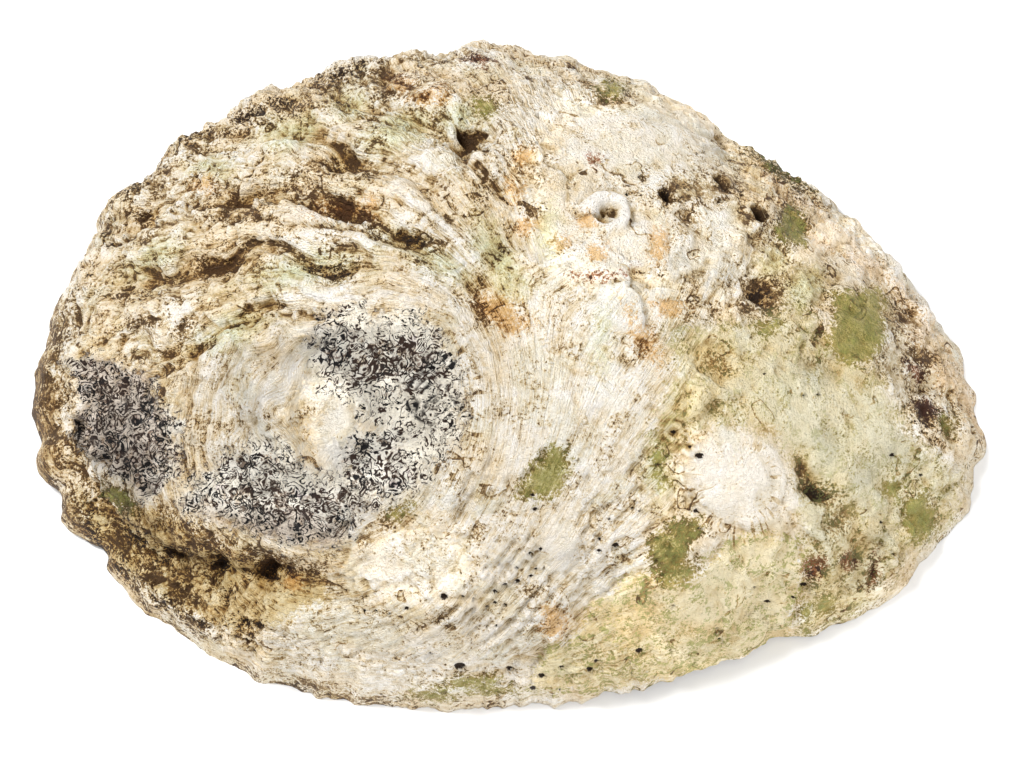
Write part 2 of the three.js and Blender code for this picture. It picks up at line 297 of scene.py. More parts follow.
# Relief that the solid has too
suture = {
    "points": ((-74, 9), (-74.5, 0), (-73.8, -9), (-71.5, -18), (-67.3, -26.5), (-62, -32.5), (-55.3, -36.8),
               (-47, -39.8), (-38.6, -41.8), (-29.9, -42.6), (-21.6, -41)),
    "depth": 3.8,
    "halfWidth": 2.4,
    "ledgeRise": 1.4,
    "ledgeOffset": 5.5,
    "backing": 3.2,             # how far the wall bulges into the hollow behind the groove
    "backingReach": 8.0,
}
scarEdge = {
    "points": ((-12, -3), (-7, -7), (-5, -16), (-4.5, -25), (-9, -33), (-16, -38)),
    "rise": 1.1,
    "halfWidth": 2.0,
}
folds = {
    "pivot": (8, -16),
    "angles": (82.0, 158.0),
    "period": 12.6,
    "crestAngle": 129.3,
    "bend": 0.35,               # degrees that a fold turns per millimetre of its run
    "growth": (18.0, 60.0),     # run from the pivot where the folds begin, and where they are full
    "rise": 2.4,
    "sideEdges": 12.0,
    "sways": ((2.4, 14.0, 11), (1.2, 5.0, 12)),     # degrees, size and seed
    "knobShare": 0.6,
    "knobSize": 12.0,
}
# x, y, height and reach of what stands on the back, with hollows negative
growths = {
    "apexKnob": (-27, -9, 1.7, 3.6),
    "wornDisc": (-12, -18, -0.8, 7),
    "wornSpire": (-37, -29, -0.7, 9),
    "wornEnd": (-61, -16, -0.9, 7),
    "creamPatch": (-26, -20, 0.9, 5),
    "keelKnob1": (-61, 28, 2.2, 4),
    "keelKnob2": (-51, 37, 1.4, 4.5),
    "keelKnob3": (-41, 43, 1.4, 4.5),
    "keelKnob4": (-27, 49, 1.8, 4.5),
    "keelKnob5": (-15, 48, 1, 4.5),
    "keelKnob6": (-4, 50, 0.6, 4),
    "muddyPore": (-6, 26, -4.6, 2.6),
    "wormCoil": (-2.5, 20, 1.6, 2.6),
    "foldHollow1": (-26, 13, -2.2, 2.8),
    "foldHollow2": (-28, 23, -2.2, 3),
    "foldHollow3": (-43, 18, -2.2, 3.2),
    "foldHollow4": (-46, 8, -1.8, 3),
    "foldHollow5": (-60, 21, -1.8, 3),
    "foldHollow6": (-15, 7, -2.2, 2.4),
    "whiteCrust": (21, 29, 2.2, 9),
    "whiteBlob": (17, -3, 1.6, 4.8),
    "roundPatch": (35, -29, 1.3, 7),
    "ovalLump": (9, -38, 2, 3.6),
    "mossLump": (25, -38, 1.8, 4.2),
    "crackedClump": (7, -48, 1.5, 3.4),
    "limeCrust": (28, -45, 1.2, 8),
    "oliveCrust": (56, 1, 1.2, 6),
    "oliveHollow": (40, 3, -2, 3.2),
    "mossHollow": (49, -27, -1.8, 3.2),
    "edgeLump1": (63, 17, 1.6, 4.5),
    "edgeLump2": (69, 8, 1.6, 4),
    "edgeLump3": (68, -16, 1.8, 5),
    "edgeHollow": (68, -6, -1.6, 3),
    "edgeLump4": (50, -37, 1.6, 4.5),
    "farCrest": (45, 32, 1.2, 4.5),
}
barnacle = {"place": (15.3, 11.8), "ringRadius": 2.6, "ringWidth": 0.9, "ringRise": 1.8, "mouthDepth": 1.6}
groovePits = {
    "places": ((-64, -30.6), (-56, -36.6), (-47.5, -39.8), (-39, -42.4)),
    "depth": 1.9,
    "reach": 2.0,
}
pores = {
    "places": ((24.8, 16.2), (33.6, 21.7), (39.8, 17)),
    "outerRadius": 2.2,
    "innerRadius": 1.3,
    "tubercleRise": 1.3,
    "tubercleReach": 4.6,
}


def curveThrough(points, samples=10):
    knots = np.array(points, float)
    knots = np.vstack([2 * knots[0] - knots[1], knots, 2 * knots[-1] - knots[-2]])
    t = np.linspace(0, 1, samples, endpoint=False)[:, None]
    spans = []
    for a, b, c, d in zip(knots[:-3], knots[1:-2], knots[2:-1], knots[3:]):
        spans.append(0.5 * (2 * b + (c - a) * t + (2 * a - 5 * b + 4 * c - d) * t ** 2
                            + (3 * b - a - 3 * c + d) * t ** 3))
    return np.vstack(spans + [knots[-2:-1]])


def nearLine(line, x, y):
    # distance to a line, its side (left positive) and the share of its length
    distance = np.full(len(x), 1e9)
    side = np.ones(len(x))
    along = np.zeros(len(x))
    for i in range(len(line) - 1):
        step = line[i + 1] - line[i]
        relX, relY = x - line[i][0], y - line[i][1]
        t = np.clip((relX * step[0] + relY * step[1]) / (step @ step), 0, 1)
        gap = np.hypot(relX - t * step[0], relY - t * step[1])
        closer = gap < distance
        distance = np.where(closer, gap, distance)
        side = np.where(closer, np.sign(step[0] * relY - step[1] * relX), side)
        along = np.where(closer, (i + t) / (len(line) - 1), along)
    return distance, side, along


def fadedEnds(along):
    return smooth(along, 0, 0.2) * (1 - smooth(along, 0.8, 1))


def sutureRelief(x, y):
    distance, side, along = nearLine(curveThrough(suture["points"]), x, y)
    groove = -suture["depth"] * hump(distance, suture["halfWidth"])
    ledge = suture["ledgeRise"] * hump(-side * distance - suture["ledgeOffset"], suture["halfWidth"])
    return (groove + ledge) * fadedEnds(along)


def hollowRelief(x, y):
    distance, _, along = nearLine(curveThrough(suture["points"]), x, y)
    return -suture["backing"] * hump(distance, suture["backingReach"]) * fadedEnds(along)


def scarRelief(x, y):
    distance, _, along = nearLine(curveThrough(scarEdge["points"]), x, y)
    return scarEdge["rise"] * hump(distance, scarEdge["halfWidth"]) * fadedEnds(along)


def fanPlace(points):
    # angle at the pivot of the fold through each point, and its run from there
    dx, dy = points[:, 0] - folds["pivot"][0], points[:, 1] - folds["pivot"][1]
    run = np.hypot(dx, dy)
    sway = addHills(0, points, folds["sways"])
    return np.degrees(np.arctan2(dy, dx)) % 360 - folds["bend"] * run + sway, run


def fanShare(degrees):
    first, last = folds["angles"]
    edges = folds["sideEdges"]
    return smooth(degrees, first, first + edges) * (1 - smooth(degrees, last - edges, last))


def foldRelief(points, part):
    degrees, run = fanPlace(points)
    crest = 0.5 + 0.5 * np.cos(2 * math.pi * (degrees - folds["crestAngle"]) / folds["period"])
    knobs = 1 + folds["knobShare"] * hills(points, folds["knobSize"], 14)
    flattening = 1 - smooth(part, 0.78, 0.95)
    height = folds["rise"] * (knobs * crest - 0.5) * smooth(run, *folds["growth"])
    return height * flattening * fanShare(degrees)


def growthRelief(x, y):
    total = np.zeros(len(x))
    for gx, gy, rise, reach in growths.values():
        total += rise * hump(np.hypot(x - gx, y - gy), reach)
    for px, py in groovePits["places"]:
        total -= groovePits["depth"] * hump(np.hypot(x - px, y - py), groovePits["reach"])
    for px, py in pores["places"]:
        total += pores["tubercleRise"] * hump(np.hypot(x - px, y - py), pores["tubercleReach"])
    gap = np.hypot(x - barnacle["place"][0], y - barnacle["place"][1])
    total += barnacle["ringRise"] * hump(gap - barnacle["ringRadius"], barnacle["ringWidth"])
    return total - barnacle["mouthDepth"] * hump(gap, barnacle["ringRadius"] * 0.6)


def broadRelief(points, part):
    x, y = points[:, 0], points[:, 1]
    total = sutureRelief(x, y) + scarRelief(x, y) + foldRelief(points, part) + growthRelief(x, y)
    return addHills(total, points, shellForm["swells"])


# Outlines of patches and worn places, in pixels of the photograph
outlines = {
    "wornSpire": (
        (339, 309), (357, 306), (376, 314), (416, 311), (432, 330), (451, 352), (461, 373), (464, 402),
        (460, 429), (444, 456), (418, 479), (394, 502), (355, 512), (349, 537), (322, 545), (288, 541),
        (258, 531), (231, 526), (205, 514), (184, 505), (186, 488), (207, 474), (234, 459), (247, 442),
        (274, 438), (290, 452), (310, 470), (340, 470), (357, 443), (372, 429), (358, 408), (340, 396),
        (322, 384), (312, 362), (313, 340), (324, 322),
    ),
    "wornEnd": (
        (71, 360), (103, 361), (124, 373), (151, 378), (146, 393), (159, 406), (180, 422), (169, 449),
        (174, 469), (161, 486), (148, 496), (124, 472), (103, 461), (84, 448), (76, 419), (87, 405),
        (82, 382),
    ),
    "creamFill": (
        (328, 402), (344, 400), (357, 424), (365, 432), (352, 445), (349, 461), (331, 470), (320, 459),
        (328, 440), (322, 419),
    ),
    "creamPlate": (
        (352, 516), (380, 508), (404, 516), (404, 545), (420, 562), (402, 582), (368, 580), (344, 572),
        (352, 548),
    ),
    "roundPatch": (
        (700, 440), (722, 428), (748, 432), (768, 444), (784, 470), (784, 496), (768, 518), (742, 526),
        (716, 522), (700, 500), (693, 468),
    ),
    "whiteBlob": (
        (600, 290), (620, 284), (640, 294), (644, 318), (640, 332), (618, 326), (604, 322), (598, 308),
    ),
    "olivePatch": (
        (548, 443), (569, 448), (571, 473), (562, 494), (546, 503), (518, 497), (523, 480), (536, 462),
    ),
    "oliveCrust": (
        (829, 287), (852, 291), (877, 284), (888, 304), (885, 323), (888, 342), (872, 362), (846, 366),
        (829, 357), (824, 335), (832, 312),
    ),
    "oliveEdge": (
        (900, 499), (928, 492), (939, 511), (934, 535), (916, 547), (904, 529),
    ),
    "limeCrust": (
        (582, 621), (594, 602), (613, 588), (631, 570), (649, 572), (686, 580), (704, 566), (726, 540),
        (762, 530), (797, 542), (806, 568), (803, 590), (793, 609), (791, 640), (747, 656), (686, 675),
        (613, 690), (551, 693), (529, 690), (532, 664), (551, 645), (570, 640),
    ),
    "greenGround": (
        (668, 330), (700, 326), (748, 322), (800, 300), (826, 330), (880, 376), (905, 430), (960, 470),
        (955, 520), (905, 560), (862, 610), (800, 640), (806, 560), (800, 520), (796, 470), (772, 434),
        (722, 420), (690, 436), (664, 470), (650, 440), (672, 380),
    ),
    "pinkMargin": (
        (760, 165), (820, 205), (880, 262), (930, 320), (965, 370), (985, 440), (950, 400), (905, 330),
        (890, 290), (850, 262), (815, 245), (780, 205),
    ),
    "ochreLedge": (
        (70, 500), (140, 500), (230, 545), (330, 575), (330, 600), (240, 640), (160, 600), (100, 560),
    ),
    "cavity": (
        (459, 120), (463, 131), (474, 130), (491, 131), (481, 141), (476, 153), (464, 154), (456, 140),
    ),
}
# Stains and patches: x, y, half length and half width in pixels, and degrees anticlockwise for a turned one
stains = {
    "mint": (
        (290, 132, 26, 15, 10), (347, 107, 15, 12), (459, 117, 22, 12, 20), (213, 168, 16, 9),
        (500, 262, 42, 17, -65), (438, 262, 40, 9, -35), (400, 130, 30, 14, 20), (600, 336, 6, 16),
        (300, 270, 50, 12, 10), (230, 330, 34, 12, 20), (150, 260, 30, 10, 30), (772, 262, 12, 16),
        (804, 287, 22, 22), (548, 230, 9, 18), (660, 470, 14, 26),
    ),
    "olive": (
        (771, 326, 12, 9), (397, 512, 13, 7, 30), (117, 497, 22, 10, -30), (795, 226, 17, 20),
        (481, 686, 30, 9), (435, 694, 22, 6), (484, 104, 14, 12), (614, 88, 16, 9), (893, 489, 12, 9),
        (947, 424, 10, 13, 40), (668, 552, 24, 22), (683, 532, 20, 15), (661, 459, 7, 9),
        (662, 481, 7, 9), (807, 615, 6, 20, 10), (828, 606, 14, 9), (674, 570, 24, 14),
        (775, 168, 30, 7, -38),
    ),
    "orange": (
        (526, 159, 8, 10), (516, 193, 8, 10), (526, 223, 8, 9), (561, 238, 8, 8), (599, 251, 8, 8),
        (661, 247, 9, 14, 10), (670, 306, 14, 8), (498, 306, 26, 14, -20), (514, 322, 14, 10),
        (554, 621, 14, 17), (588, 220, 8, 9), (293, 579, 9, 9), (369, 203, 7, 6), (207, 185, 12, 6),
        (430, 97, 16, 8), (640, 335, 8, 26, 30), (402, 84, 12, 8), (345, 214, 30, 8, -10),
    ),
    "brown": (
        (144, 220, 9, 7), (239, 212, 30, 10), (216, 266, 20, 8, -10), (337, 171, 26, 7, -20),
        (296, 182, 10, 6), (195, 537, 18, 9, -20), (389, 523, 13, 8), (111, 567, 14, 9, -30),
        (137, 581, 13, 8, -30), (195, 625, 13, 7, -20), (248, 627, 16, 7, -10), (756, 214, 14, 10),
        (719, 184, 20, 13), (716, 365, 15, 9, -15), (908, 318, 14, 12), (922, 357, 16, 10, -40),
        (678, 192, 27, 17, -10), (557, 462, 12, 13), (683, 532, 15, 13), (818, 492, 24, 13, -10),
        (690, 222, 12, 16), (148, 182, 32, 11, 42), (205, 136, 30, 10, 28), (264, 114, 32, 9, 18),
        (775, 170, 34, 8, -38), (34, 430, 14, 130), (860, 391, 7, 8), (848, 424, 8, 10),
        (536, 593, 13, 7, -20), (473, 536, 10, 8), (397, 525, 10, 6), (326, 690, 48, 5, -12),
        (410, 90, 24, 9, -25), (578, 133, 10, 3, -20), (635, 122, 8, 4), (485, 172, 10, 9),
        (231, 436, 13, 3, -45), (222, 428, 5, 4), (372, 226, 20, 6, -30), (480, 306, 14, 6, -40),
        (128, 292, 14, 6), (150, 320, 16, 6, 20), (185, 330, 8, 14), (620, 556, 12, 6, -40),
        (762, 292, 27, 15, -20), (746, 310, 12, 7), (770, 430, 8, 6), (798, 470, 10, 12),
        (842, 520, 9, 20, -30), (640, 345, 5, 12), (470, 395, 6, 26), (360, 535, 8, 8), (440, 120, 12, 8),
        (44, 425, 20, 110), (72, 520, 12, 40, 35), (56, 330, 9, 40, -20), (668, 556, 22, 18),
        (390, 82, 36, 13, -12), (340, 76, 24, 9, 20), (170, 585, 34, 12, -30), (208, 540, 30, 11, -28),
        (155, 178, 18, 12, 35), (318, 200, 26, 9, -38), (78, 440, 7, 50, 12), (610, 98, 26, 8, -12),
        (105, 490, 26, 12, -40), (270, 560, 34, 7, -12), (120, 545, 26, 12, -40), (922, 412, 20, 12, -40),
    ),
    "dark": (
        (135, 184, 12, 7, 30), (191, 132, 14, 5, 30), (248, 117, 12, 6, 20), (280, 104, 10, 5),
        (328, 273, 13, 4, -10), (414, 241, 4, 2, -35), (668, 191, 9, 9), (138, 538, 7, 4, -35),
        (172, 555, 7, 6), (221, 565, 5, 3), (270, 573, 10, 5), (151, 481, 8, 5, -10),
        (229, 598, 5, 4, 60), (640, 176, 3, 4), (627, 193, 3, 3), (674, 167, 3, 3), (758, 296, 8, 6),
        (818, 491, 14, 6, -10), (932, 438, 16, 3, -42), (347, 70, 12, 4, 20), (86, 372, 8, 4, -10),
        (160, 600, 8, 3, -35), (668, 545, 5, 5), (548, 470, 4, 9, 20), (107, 245, 6, 3, 60),
        (84, 285, 5, 3, 60), (775, 165, 16, 4, -40), (250, 623, 8, 4, -20), (210, 622, 7, 3, -20),
        (120, 566, 8, 3, -50), (95, 530, 8, 3, -60),
    ),
    "maroon": (
        (478, 61, 10, 5), (597, 158, 6, 6), (928, 408, 15, 9, -20), (815, 568, 12, 13), (849, 562, 8, 8),
        (873, 573, 7, 17, -10), (605, 274, 15, 3), (918, 378, 10, 5, -40),
    ),
    "white": (
        (395, 378, 10, 7), (432, 397, 20, 18), (288, 375, 28, 9, 55), (313, 315, 22, 9, 40),
        (561, 547, 19, 28, 10), (720, 578, 16, 6), (701, 621, 18, 6, 20), (613, 597, 15, 7, 20),
        (628, 138, 46, 24), (585, 132, 26, 20), (642, 232, 18, 12), (545, 110, 20, 16),
        (625, 255, 20, 16), (495, 350, 18, 20), (600, 390, 22, 26), (560, 400, 14, 26),
        (470, 470, 14, 26, 20), (560, 520, 22, 10), (430, 500, 18, 12), (660, 400, 10, 18),
        (718, 228, 20, 18), (430, 160, 20, 12), (400, 180, 18, 9, -30), (310, 150, 26, 8, 20),
    ),
    "grey": (
        (684, 269, 15, 20), (718, 271, 20, 24), (813, 374, 18, 17), (827, 438, 14, 22), (373, 558, 12, 9),
        (338, 430, 18, 32), (119, 394, 13, 8), (87, 389, 6, 11), (191, 435, 10, 10), (745, 250, 12, 24),
        (880, 545, 18, 20), (905, 450, 20, 22), (690, 330, 30, 10, 20), (860, 470, 18, 16),
        (530, 185, 12, 20),
    ),
    # where the growth lines are lost under crust
    "lineless": (
        (640, 190, 120, 100), (850, 420, 170, 190), (740, 590, 120, 80, 20), (740, 486, 74, 64),
        (325, 410, 34, 44), (420, 560, 60, 40),
    ),
    # where the relief is low
    "calm": (
        (385, 652, 120, 38, -6), (625, 150, 80, 50, -15), (560, 260, 44, 60), (520, 400, 44, 80, -10),
        (640, 630, 90, 40, 10), (820, 440, 90, 70), (561, 547, 24, 34, 10),
    ),
    # soft areas that are cleaner or browner than the rest, and where the worn nacre is darkest
    "pale": (
        (575, 400, 80, 120, -20), (640, 150, 90, 45, -20), (600, 250, 60, 60), (700, 235, 40, 40),
        (545, 545, 90, 60), (430, 560, 60, 46), (740, 485, 60, 56), (752, 584, 60, 40, 20),
        (620, 310, 50, 50), (290, 132, 26, 13), (330, 210, 30, 14), (300, 360, 50, 16, 55),
        (350, 296, 70, 14), (340, 625, 70, 24, -20), (470, 350, 20, 40), (850, 250, 40, 24, -45),
        (336, 430, 20, 34), (430, 664, 140, 34, -4), (915, 296, 40, 20, -50), (840, 430, 60, 50),
        (290, 604, 60, 26, -10), (440, 135, 40, 26), (240, 385, 30, 40, -30), (640, 482, 22, 40),
        (480, 625, 34, 22), (880, 470, 30, 40), (780, 390, 30, 30),
    ),
    "tan": (
        (46, 430, 22, 120), (150, 566, 90, 44, -33), (110, 200, 90, 28, 48), (350, 84, 110, 26, 15),
        (190, 250, 110, 50, 25), (350, 150, 80, 40, 10), (110, 430, 56, 84), (340, 215, 60, 26, -25),
        (760, 200, 60, 40, -30), (895, 345, 30, 40), (932, 410, 24, 36), (840, 562, 36, 34),
        (300, 690, 80, 10, -14), (240, 210, 60, 24), (390, 560, 30, 14), (505, 308, 26, 20),
        (150, 360, 50, 40, 20), (760, 300, 34, 26), (600, 662, 50, 18), (478, 545, 30, 18, 40),
        (262, 538, 110, 26, -6), (398, 533, 28, 20), (318, 298, 16, 24), (690, 190, 40, 22, -10),
    ),
    "dense": (
        (126, 432, 50, 62, 30), (300, 508, 110, 24, -6), (250, 470, 40, 20), (378, 470, 30, 44, 20),
        (396, 362, 60, 26), (336, 345, 22, 22), (90, 385, 22, 26),
    ),
}
# Raised rings of worm coils, barnacles and the worn disc: x, y, radius and half width in pixels
rings = (
    (482, 169, 13, 3.5), (484, 171, 5, 3), (674, 432, 8, 2.5), (690, 447, 7, 2), (432, 397, 22, 2.2),
    (432, 397, 15, 2), (433, 397, 9, 2), (432, 397, 3.5, 2),
)
# Holes bored by worms and sponges: x, y and radius in pixels
boredHoles = (
    (364, 612, 2), (375, 612, 2), (389, 615, 2), (406, 610, 3), (444, 598, 4.5), (463, 598, 2),
    (473, 600, 2), (495, 593, 3), (505, 586, 2.5), (517, 582, 3), (487, 608, 2), (473, 610, 2),
    (505, 606, 2), (495, 604, 2), (517, 569, 2), (531, 577, 2.5), (536, 570, 2), (530, 555, 2.5),
    (540, 550, 2.5), (487, 627, 1.5), (497, 627, 1.5), (460, 668, 5.5), (510, 670, 3.5), (541, 677, 3.5),
    (562, 669, 3), (533, 689, 3), (590, 671, 3.5), (597, 663, 3), (640, 652, 3.5), (616, 547, 4),
    (600, 552, 3), (533, 496, 3), (535, 510, 3), (700, 456, 4.5), (768, 603, 3), (755, 589, 2),
    (718, 630, 2), (673, 607, 2), (794, 599, 2.5), (804, 586, 3.5), (883, 523, 2), (923, 476, 2),
    (894, 455, 3), (766, 373, 2), (820, 394, 1.5), (806, 395, 1.5), (690, 447, 3), (674, 432, 3),
    (697, 512, 3), (701, 529, 2), (640, 175, 2.5), (627, 193, 2.5), (430, 655, 2), (610, 520, 1.5),
    (633, 508, 2), (640, 512, 1.5), (600, 540, 2.5), (655, 560, 1.5), (720, 640, 1.5), (560, 690, 1.5),
)
boring = {
    "ovalness": (0.8, 1.2),     # what a pixel across and a pixel down count for
    "size": 0.85,               # share of the radius
    "depth": 0.9,
}
# How far from its edge a mark is followed, in millimetres, and how ragged its edge is, in pixels
markReach = 4.0
markSway = {"pixels": 5, "size": 9.0, "seeds": (63, 65), "outlineShare": 0.5}
# Marks that count as one for the colours
joinedMarks = {
    "olive": ("olive", "olivePatch", "oliveCrust", "oliveEdge"),
    "white": ("white", "roundPatch", "whiteBlob", "creamFill", "creamPlate"),
}


def insideOutline(corners, across, down):
    # distance inside an outline, negative outside, in pixels
    nearest = np.full(len(across), 1e9)
    crossings = np.zeros(len(across), int)
    loop = np.array(corners, float)
    for a, b in zip(loop, np.roll(loop, -1, axis=0)):
        step = b - a
        t = np.clip(((across - a[0]) * step[0] + (down - a[1]) * step[1]) / (step @ step), 0, 1)
        nearest = np.minimum(nearest, np.hypot(across - a[0] - t * step[0], down - a[1] - t * step[1]))
        spans = (a[1] > down) != (b[1] > down)
        slope = step[0] / step[1] if step[1] else 0.0
        crossings += spans & (across < a[0] + (down - a[1]) * slope)
    return np.where(crossings % 2 == 1, nearest, -nearest)


def insideStains(places, across, down):
    # distance inside the nearest of several oval patches, negative outside, in pixels
    best = np.full(len(across), -60.0)
    for x, y, length, width, *turn in places:
        angle = math.radians(turn[0] if turn else 0)
        along = (across - x) * math.cos(angle) - (down - y) * math.sin(angle)
        over = (across - x) * math.sin(angle) + (down - y) * math.cos(angle)
        inside = (1 - np.hypot(along / length, over / width)) * min(length, width)
        best = np.maximum(best, inside)
    return best


def insideRings(across, down):
    # distance inside the nearest raised ring, negative outside, in pixels
    gaps = [width - np.abs(np.hypot(across - x, down - y) - radius) for x, y, radius, width in rings]
    return np.maximum.reduce(gaps)


def photoFields(points):
    # how far inside each mark every point lies, in millimetres, negative outside
    across, down = photoPixels(points).T
    size, share = markSway["size"], markSway["outlineShare"]
    swayX, swayY = (markSway["pixels"] * rough(points, size, 2, seed, 0.7) for seed in markSway["seeds"])
    fields = {}
    for name, outline in outlines.items():
        fields[name] = insideOutline(outline, across + swayX * share, down + swayY * share)
    for name, places in stains.items():
        fields[name] = insideStains(places, across + swayX, down + swayY)
    fields["ring"] = insideRings(across, down)
    for name in fields:
        fields[name] = np.clip(fields[name] / photoView["pixelsPerMm"], -markReach, markReach)
    fields["worn"] = np.minimum(np.maximum(fields["wornSpire"], fields["wornEnd"]), -fields["creamFill"])
    for name, kinds in joinedMarks.items():
        fields[name] = np.maximum.reduce([fields[kind] for kind in kinds])
    return fields


# The growth lines sweep round the tip of the spire and open out to a spiral further away
growthLines = {"tip": (-27.5, -19.5), "opening": 0.8, "openFrom": 27.0, "openTo": 52.0, "spread": 35.0}


def tipDistance(points):
    return np.hypot(points[:, 0] - growthLines["tip"][0], points[:, 1] - growthLines["tip"][1])


def growthPlace(points):
    dx, dy = points[:, 0] - growthLines["tip"][0], points[:, 1] - growthLines["tip"][1]
    radius = np.maximum(tipDistance(points), 2.0)
    opening = growthLines["opening"] * smooth(radius, growthLines["openFrom"], growthLines["openTo"])
    return growthLines["spread"] * (np.log(radius) - opening * np.arctan2(dy, dx))


def netAlong(points, length, value):
    # a place for hills that run along lines of equal value
    return np.stack([points[:, 0] / length, points[:, 1] / length, value], 1)


def shingles(value, points, seed):
    # overlapping plates: each rises slowly along the value and ends in a ragged step
    place = addHills(value, points, ((0.75, 6.0, seed), (0.3, 2.2, seed + 1)))
    layer = np.floor(place)
    heights = np.random.default_rng(seed).random(256)[layer.astype(int) & 255]
    return (place - layer - 0.5) * (0.3 + heights)


# Relief that the solid is too coarse for, in millimetres
fineDetail = {
    "plateRun": (10, 34),       # run from the pivot over which plates take the place of growth lines
    "folds": (1.7, 1.0, 0.7, 0.3, 0.16),    # waves, plates along and across, thin plates, threads
    "growth": (0.2, 0.6, 0.35),             # threads, waves, plates
    "margin": (1.5, 0.5),                   # waves, plates
    "flakes": (5.5, 0.6, 0.7),              # size, height, and what crust adds to it
    "chips": (2.2, 0.45, 0.25),
    "wander": (2.4, 6.0),                   # how far the edges of flakes wander, and over what length
    "grain": 0.4,
    "crumbs": 1.3,
    "pits": 0.7,
    "calming": 0.55,                        # share that goes where the relief is low
    "wornCurls": 1.3,
    "wornDepth": 0.4,
    "edges": ((0.5, 3.0, 54), (0.25, 1.3, 57)),     # of marks: how ragged, size and seed
    "patches": {"creamPlate": 0.6, "roundPatch": 0.3, "whiteBlob": 0.7, "oliveCrust": 0.35,
                "limeCrust": 0.5, "oliveEdge": 0.3, "olivePatch": -0.5},
    "dark": 1.2,
    "brown": 0.5,
    "maroon": 0.4,
    "orange": 0.35,
    "ring": 0.6,
    "cavity": 1.3,
}


def plateShare(fanDegrees, run):
    return fanShare(fanDegrees) * smooth(run, *fineDetail["plateRun"])


def weighed(heights, forms):
    return sum(height * form for height, form in zip(heights, forms))


def foldPlates(points, fanDegrees, run):
    # plates that overlap along and across the folds
    waves = billows(netAlong(points, 18, fanDegrees / 6.5), 1.0, 2, 31, 0.4) - 0.4
    along = shingles(fanDegrees / 6.0 + 0.6 * hills(points, 9.0, 58), points, 32)
    across = shingles(run / 9.0 + 1.2 * hills(points, 8.0, 59), points, 55)
    thin = shingles(fanDegrees / 1.8, points, 34)
    threads = hills(netAlong(points, 12, fanDegrees / 1.1), 1.0, 61)
    return weighed(fineDetail["folds"], (waves, along, across, thin, threads))


def growthRidges(points, crust):
    # ridges along the growth lines, lower at the tip and under crust
    growth = growthPlace(points)
    net = netAlong(points, 12, growth / 1.6)
    waves = billows(net, 3.5, 3, 36, 0.6) - 0.4
    total = weighed(fineDetail["growth"], (hills(net, 1.0, 35), waves, shingles(growth / 3.0, points, 37)))
    total *= 0.3 + 0.7 * smooth(tipDistance(points), 5, 18)
    return total * (1 - 0.6 * crust)


def marginRidges(points, part):
    waves = billows(netAlong(points, 8, part * 30), 2.4, 4, 38, 0.6) - 0.4
    return weighed(fineDetail["margin"], (waves, shingles(part * 22, points, 39)))


def addLoose(total, points, part, fan, crust):
    # flakes, chips and grain, crumbs near the margin, and pits
    x, y = points[:, 0], points[:, 1]
    reach, length = fineDetail["wander"]
    warpX, warpY = (reach * hills(points, length, seed) for seed in (41, 42))
    size, height, onCrust = fineDetail["flakes"]
    value, inside = flakes(x + warpX, y + warpY, size, 43)
    plates = (height + onCrust * crust) * (value - 0.5) * smooth(inside, 0.0, 0.3)
    size, height, onCrust = fineDetail["chips"]
    value, inside = flakes(x + warpY, y + warpX, size, 44)
    chips = (height + onCrust * crust) * (value - 0.5) * smooth(inside, 0.0, 0.25)
    total += (plates + chips) * (1 - 0.7 * fan)
    total += (fineDetail["grain"] - 0.25 * fan) * (1 - 0.5 * crust) * rough(points, 2.4, 2, 46, 0.75)
    crumbly = smooth(part, 0.76, 0.92) * smooth(-x, -20, 30)
    total += fineDetail["crumbs"] * crumbly * (billows(points, 3.4, 3, 47, 0.6) - 0.35)
    pits = smooth(ridges(points, 3.8, 2, 48), 0.84, 1.0) * smooth(hills(points, 11.0, 49), -0.1, 0.5)
    total -= fineDetail["pits"] * pits
    return total


def wornCurls(points):
    swirl = 1.2 * np.stack([hills(points, 2.2, 51), hills(points, 2.2, 52), 0 * points[:, 0]], 1)
    return fineDetail["wornCurls"] * (ridges(points + swirl, 2.1, 2, 53) - 0.75) - fineDetail["wornDepth"]


def addPatches(total, points, fields):
    # what stands up or is sunk at the marks
    ragged = addHills(0, points, fineDetail["edges"])
    for name, rise in fineDetail["patches"].items():
        total += rise * smooth(fields[name] + ragged, -0.15, 0.35)
    total -= fineDetail["dark"] * smooth(fields["dark"] + ragged, -0.4, 1.0)
    brown = fineDetail["brown"] * smooth(fields["brown"] + ragged, -0.3, 1.5)
    total -= brown + fineDetail["maroon"] * smooth(fields["maroon"], -0.3, 1.0)
    total += fineDetail["orange"] * smooth(fields["orange"], -0.3, 0.8) * (0.5 + hills(points, 1.4, 56))
    cavity = fineDetail["cavity"] * smooth(fields["cavity"] + 0.5 * ragged, -0.1, 0.6)
    total += fineDetail["ring"] * smooth(fields["ring"], -0.3, 0.4) - cavity
    return total


def fineRelief(points, part, fields):
    fanDegrees, run = fanPlace(points)
    fan = plateShare(fanDegrees, run)
    rim = smooth(part, 0.84, 0.95)
    crust = smooth(fields["lineless"] + 1.5 * hills(points, 5.0, 67), -1.5, 1.5)
    lines = mix(growthRidges(points, crust), foldPlates(points, fanDegrees, run), fan)
    total = mix(lines, marginRidges(points, part), rim * (1 - 0.4 * fan))
    total = addLoose(total, points, part, fan, crust)
    calmer = [fields[name] for name in ("creamFill", "creamPlate", "roundPatch", "whiteBlob", "calm")]
    total *= 1 - fineDetail["calming"] * smooth(np.maximum.reduce(calmer), -0.4, 1.5)
    worn = smooth(fields["worn"] + 0.7 * hills(points, 2.0, 45), -0.3, 0.5)
    total = mix(total, wornCurls(points), worn)
    return addPatches(total, points, fields) * smooth(1 - part, 0, shellForm["rimBand"])


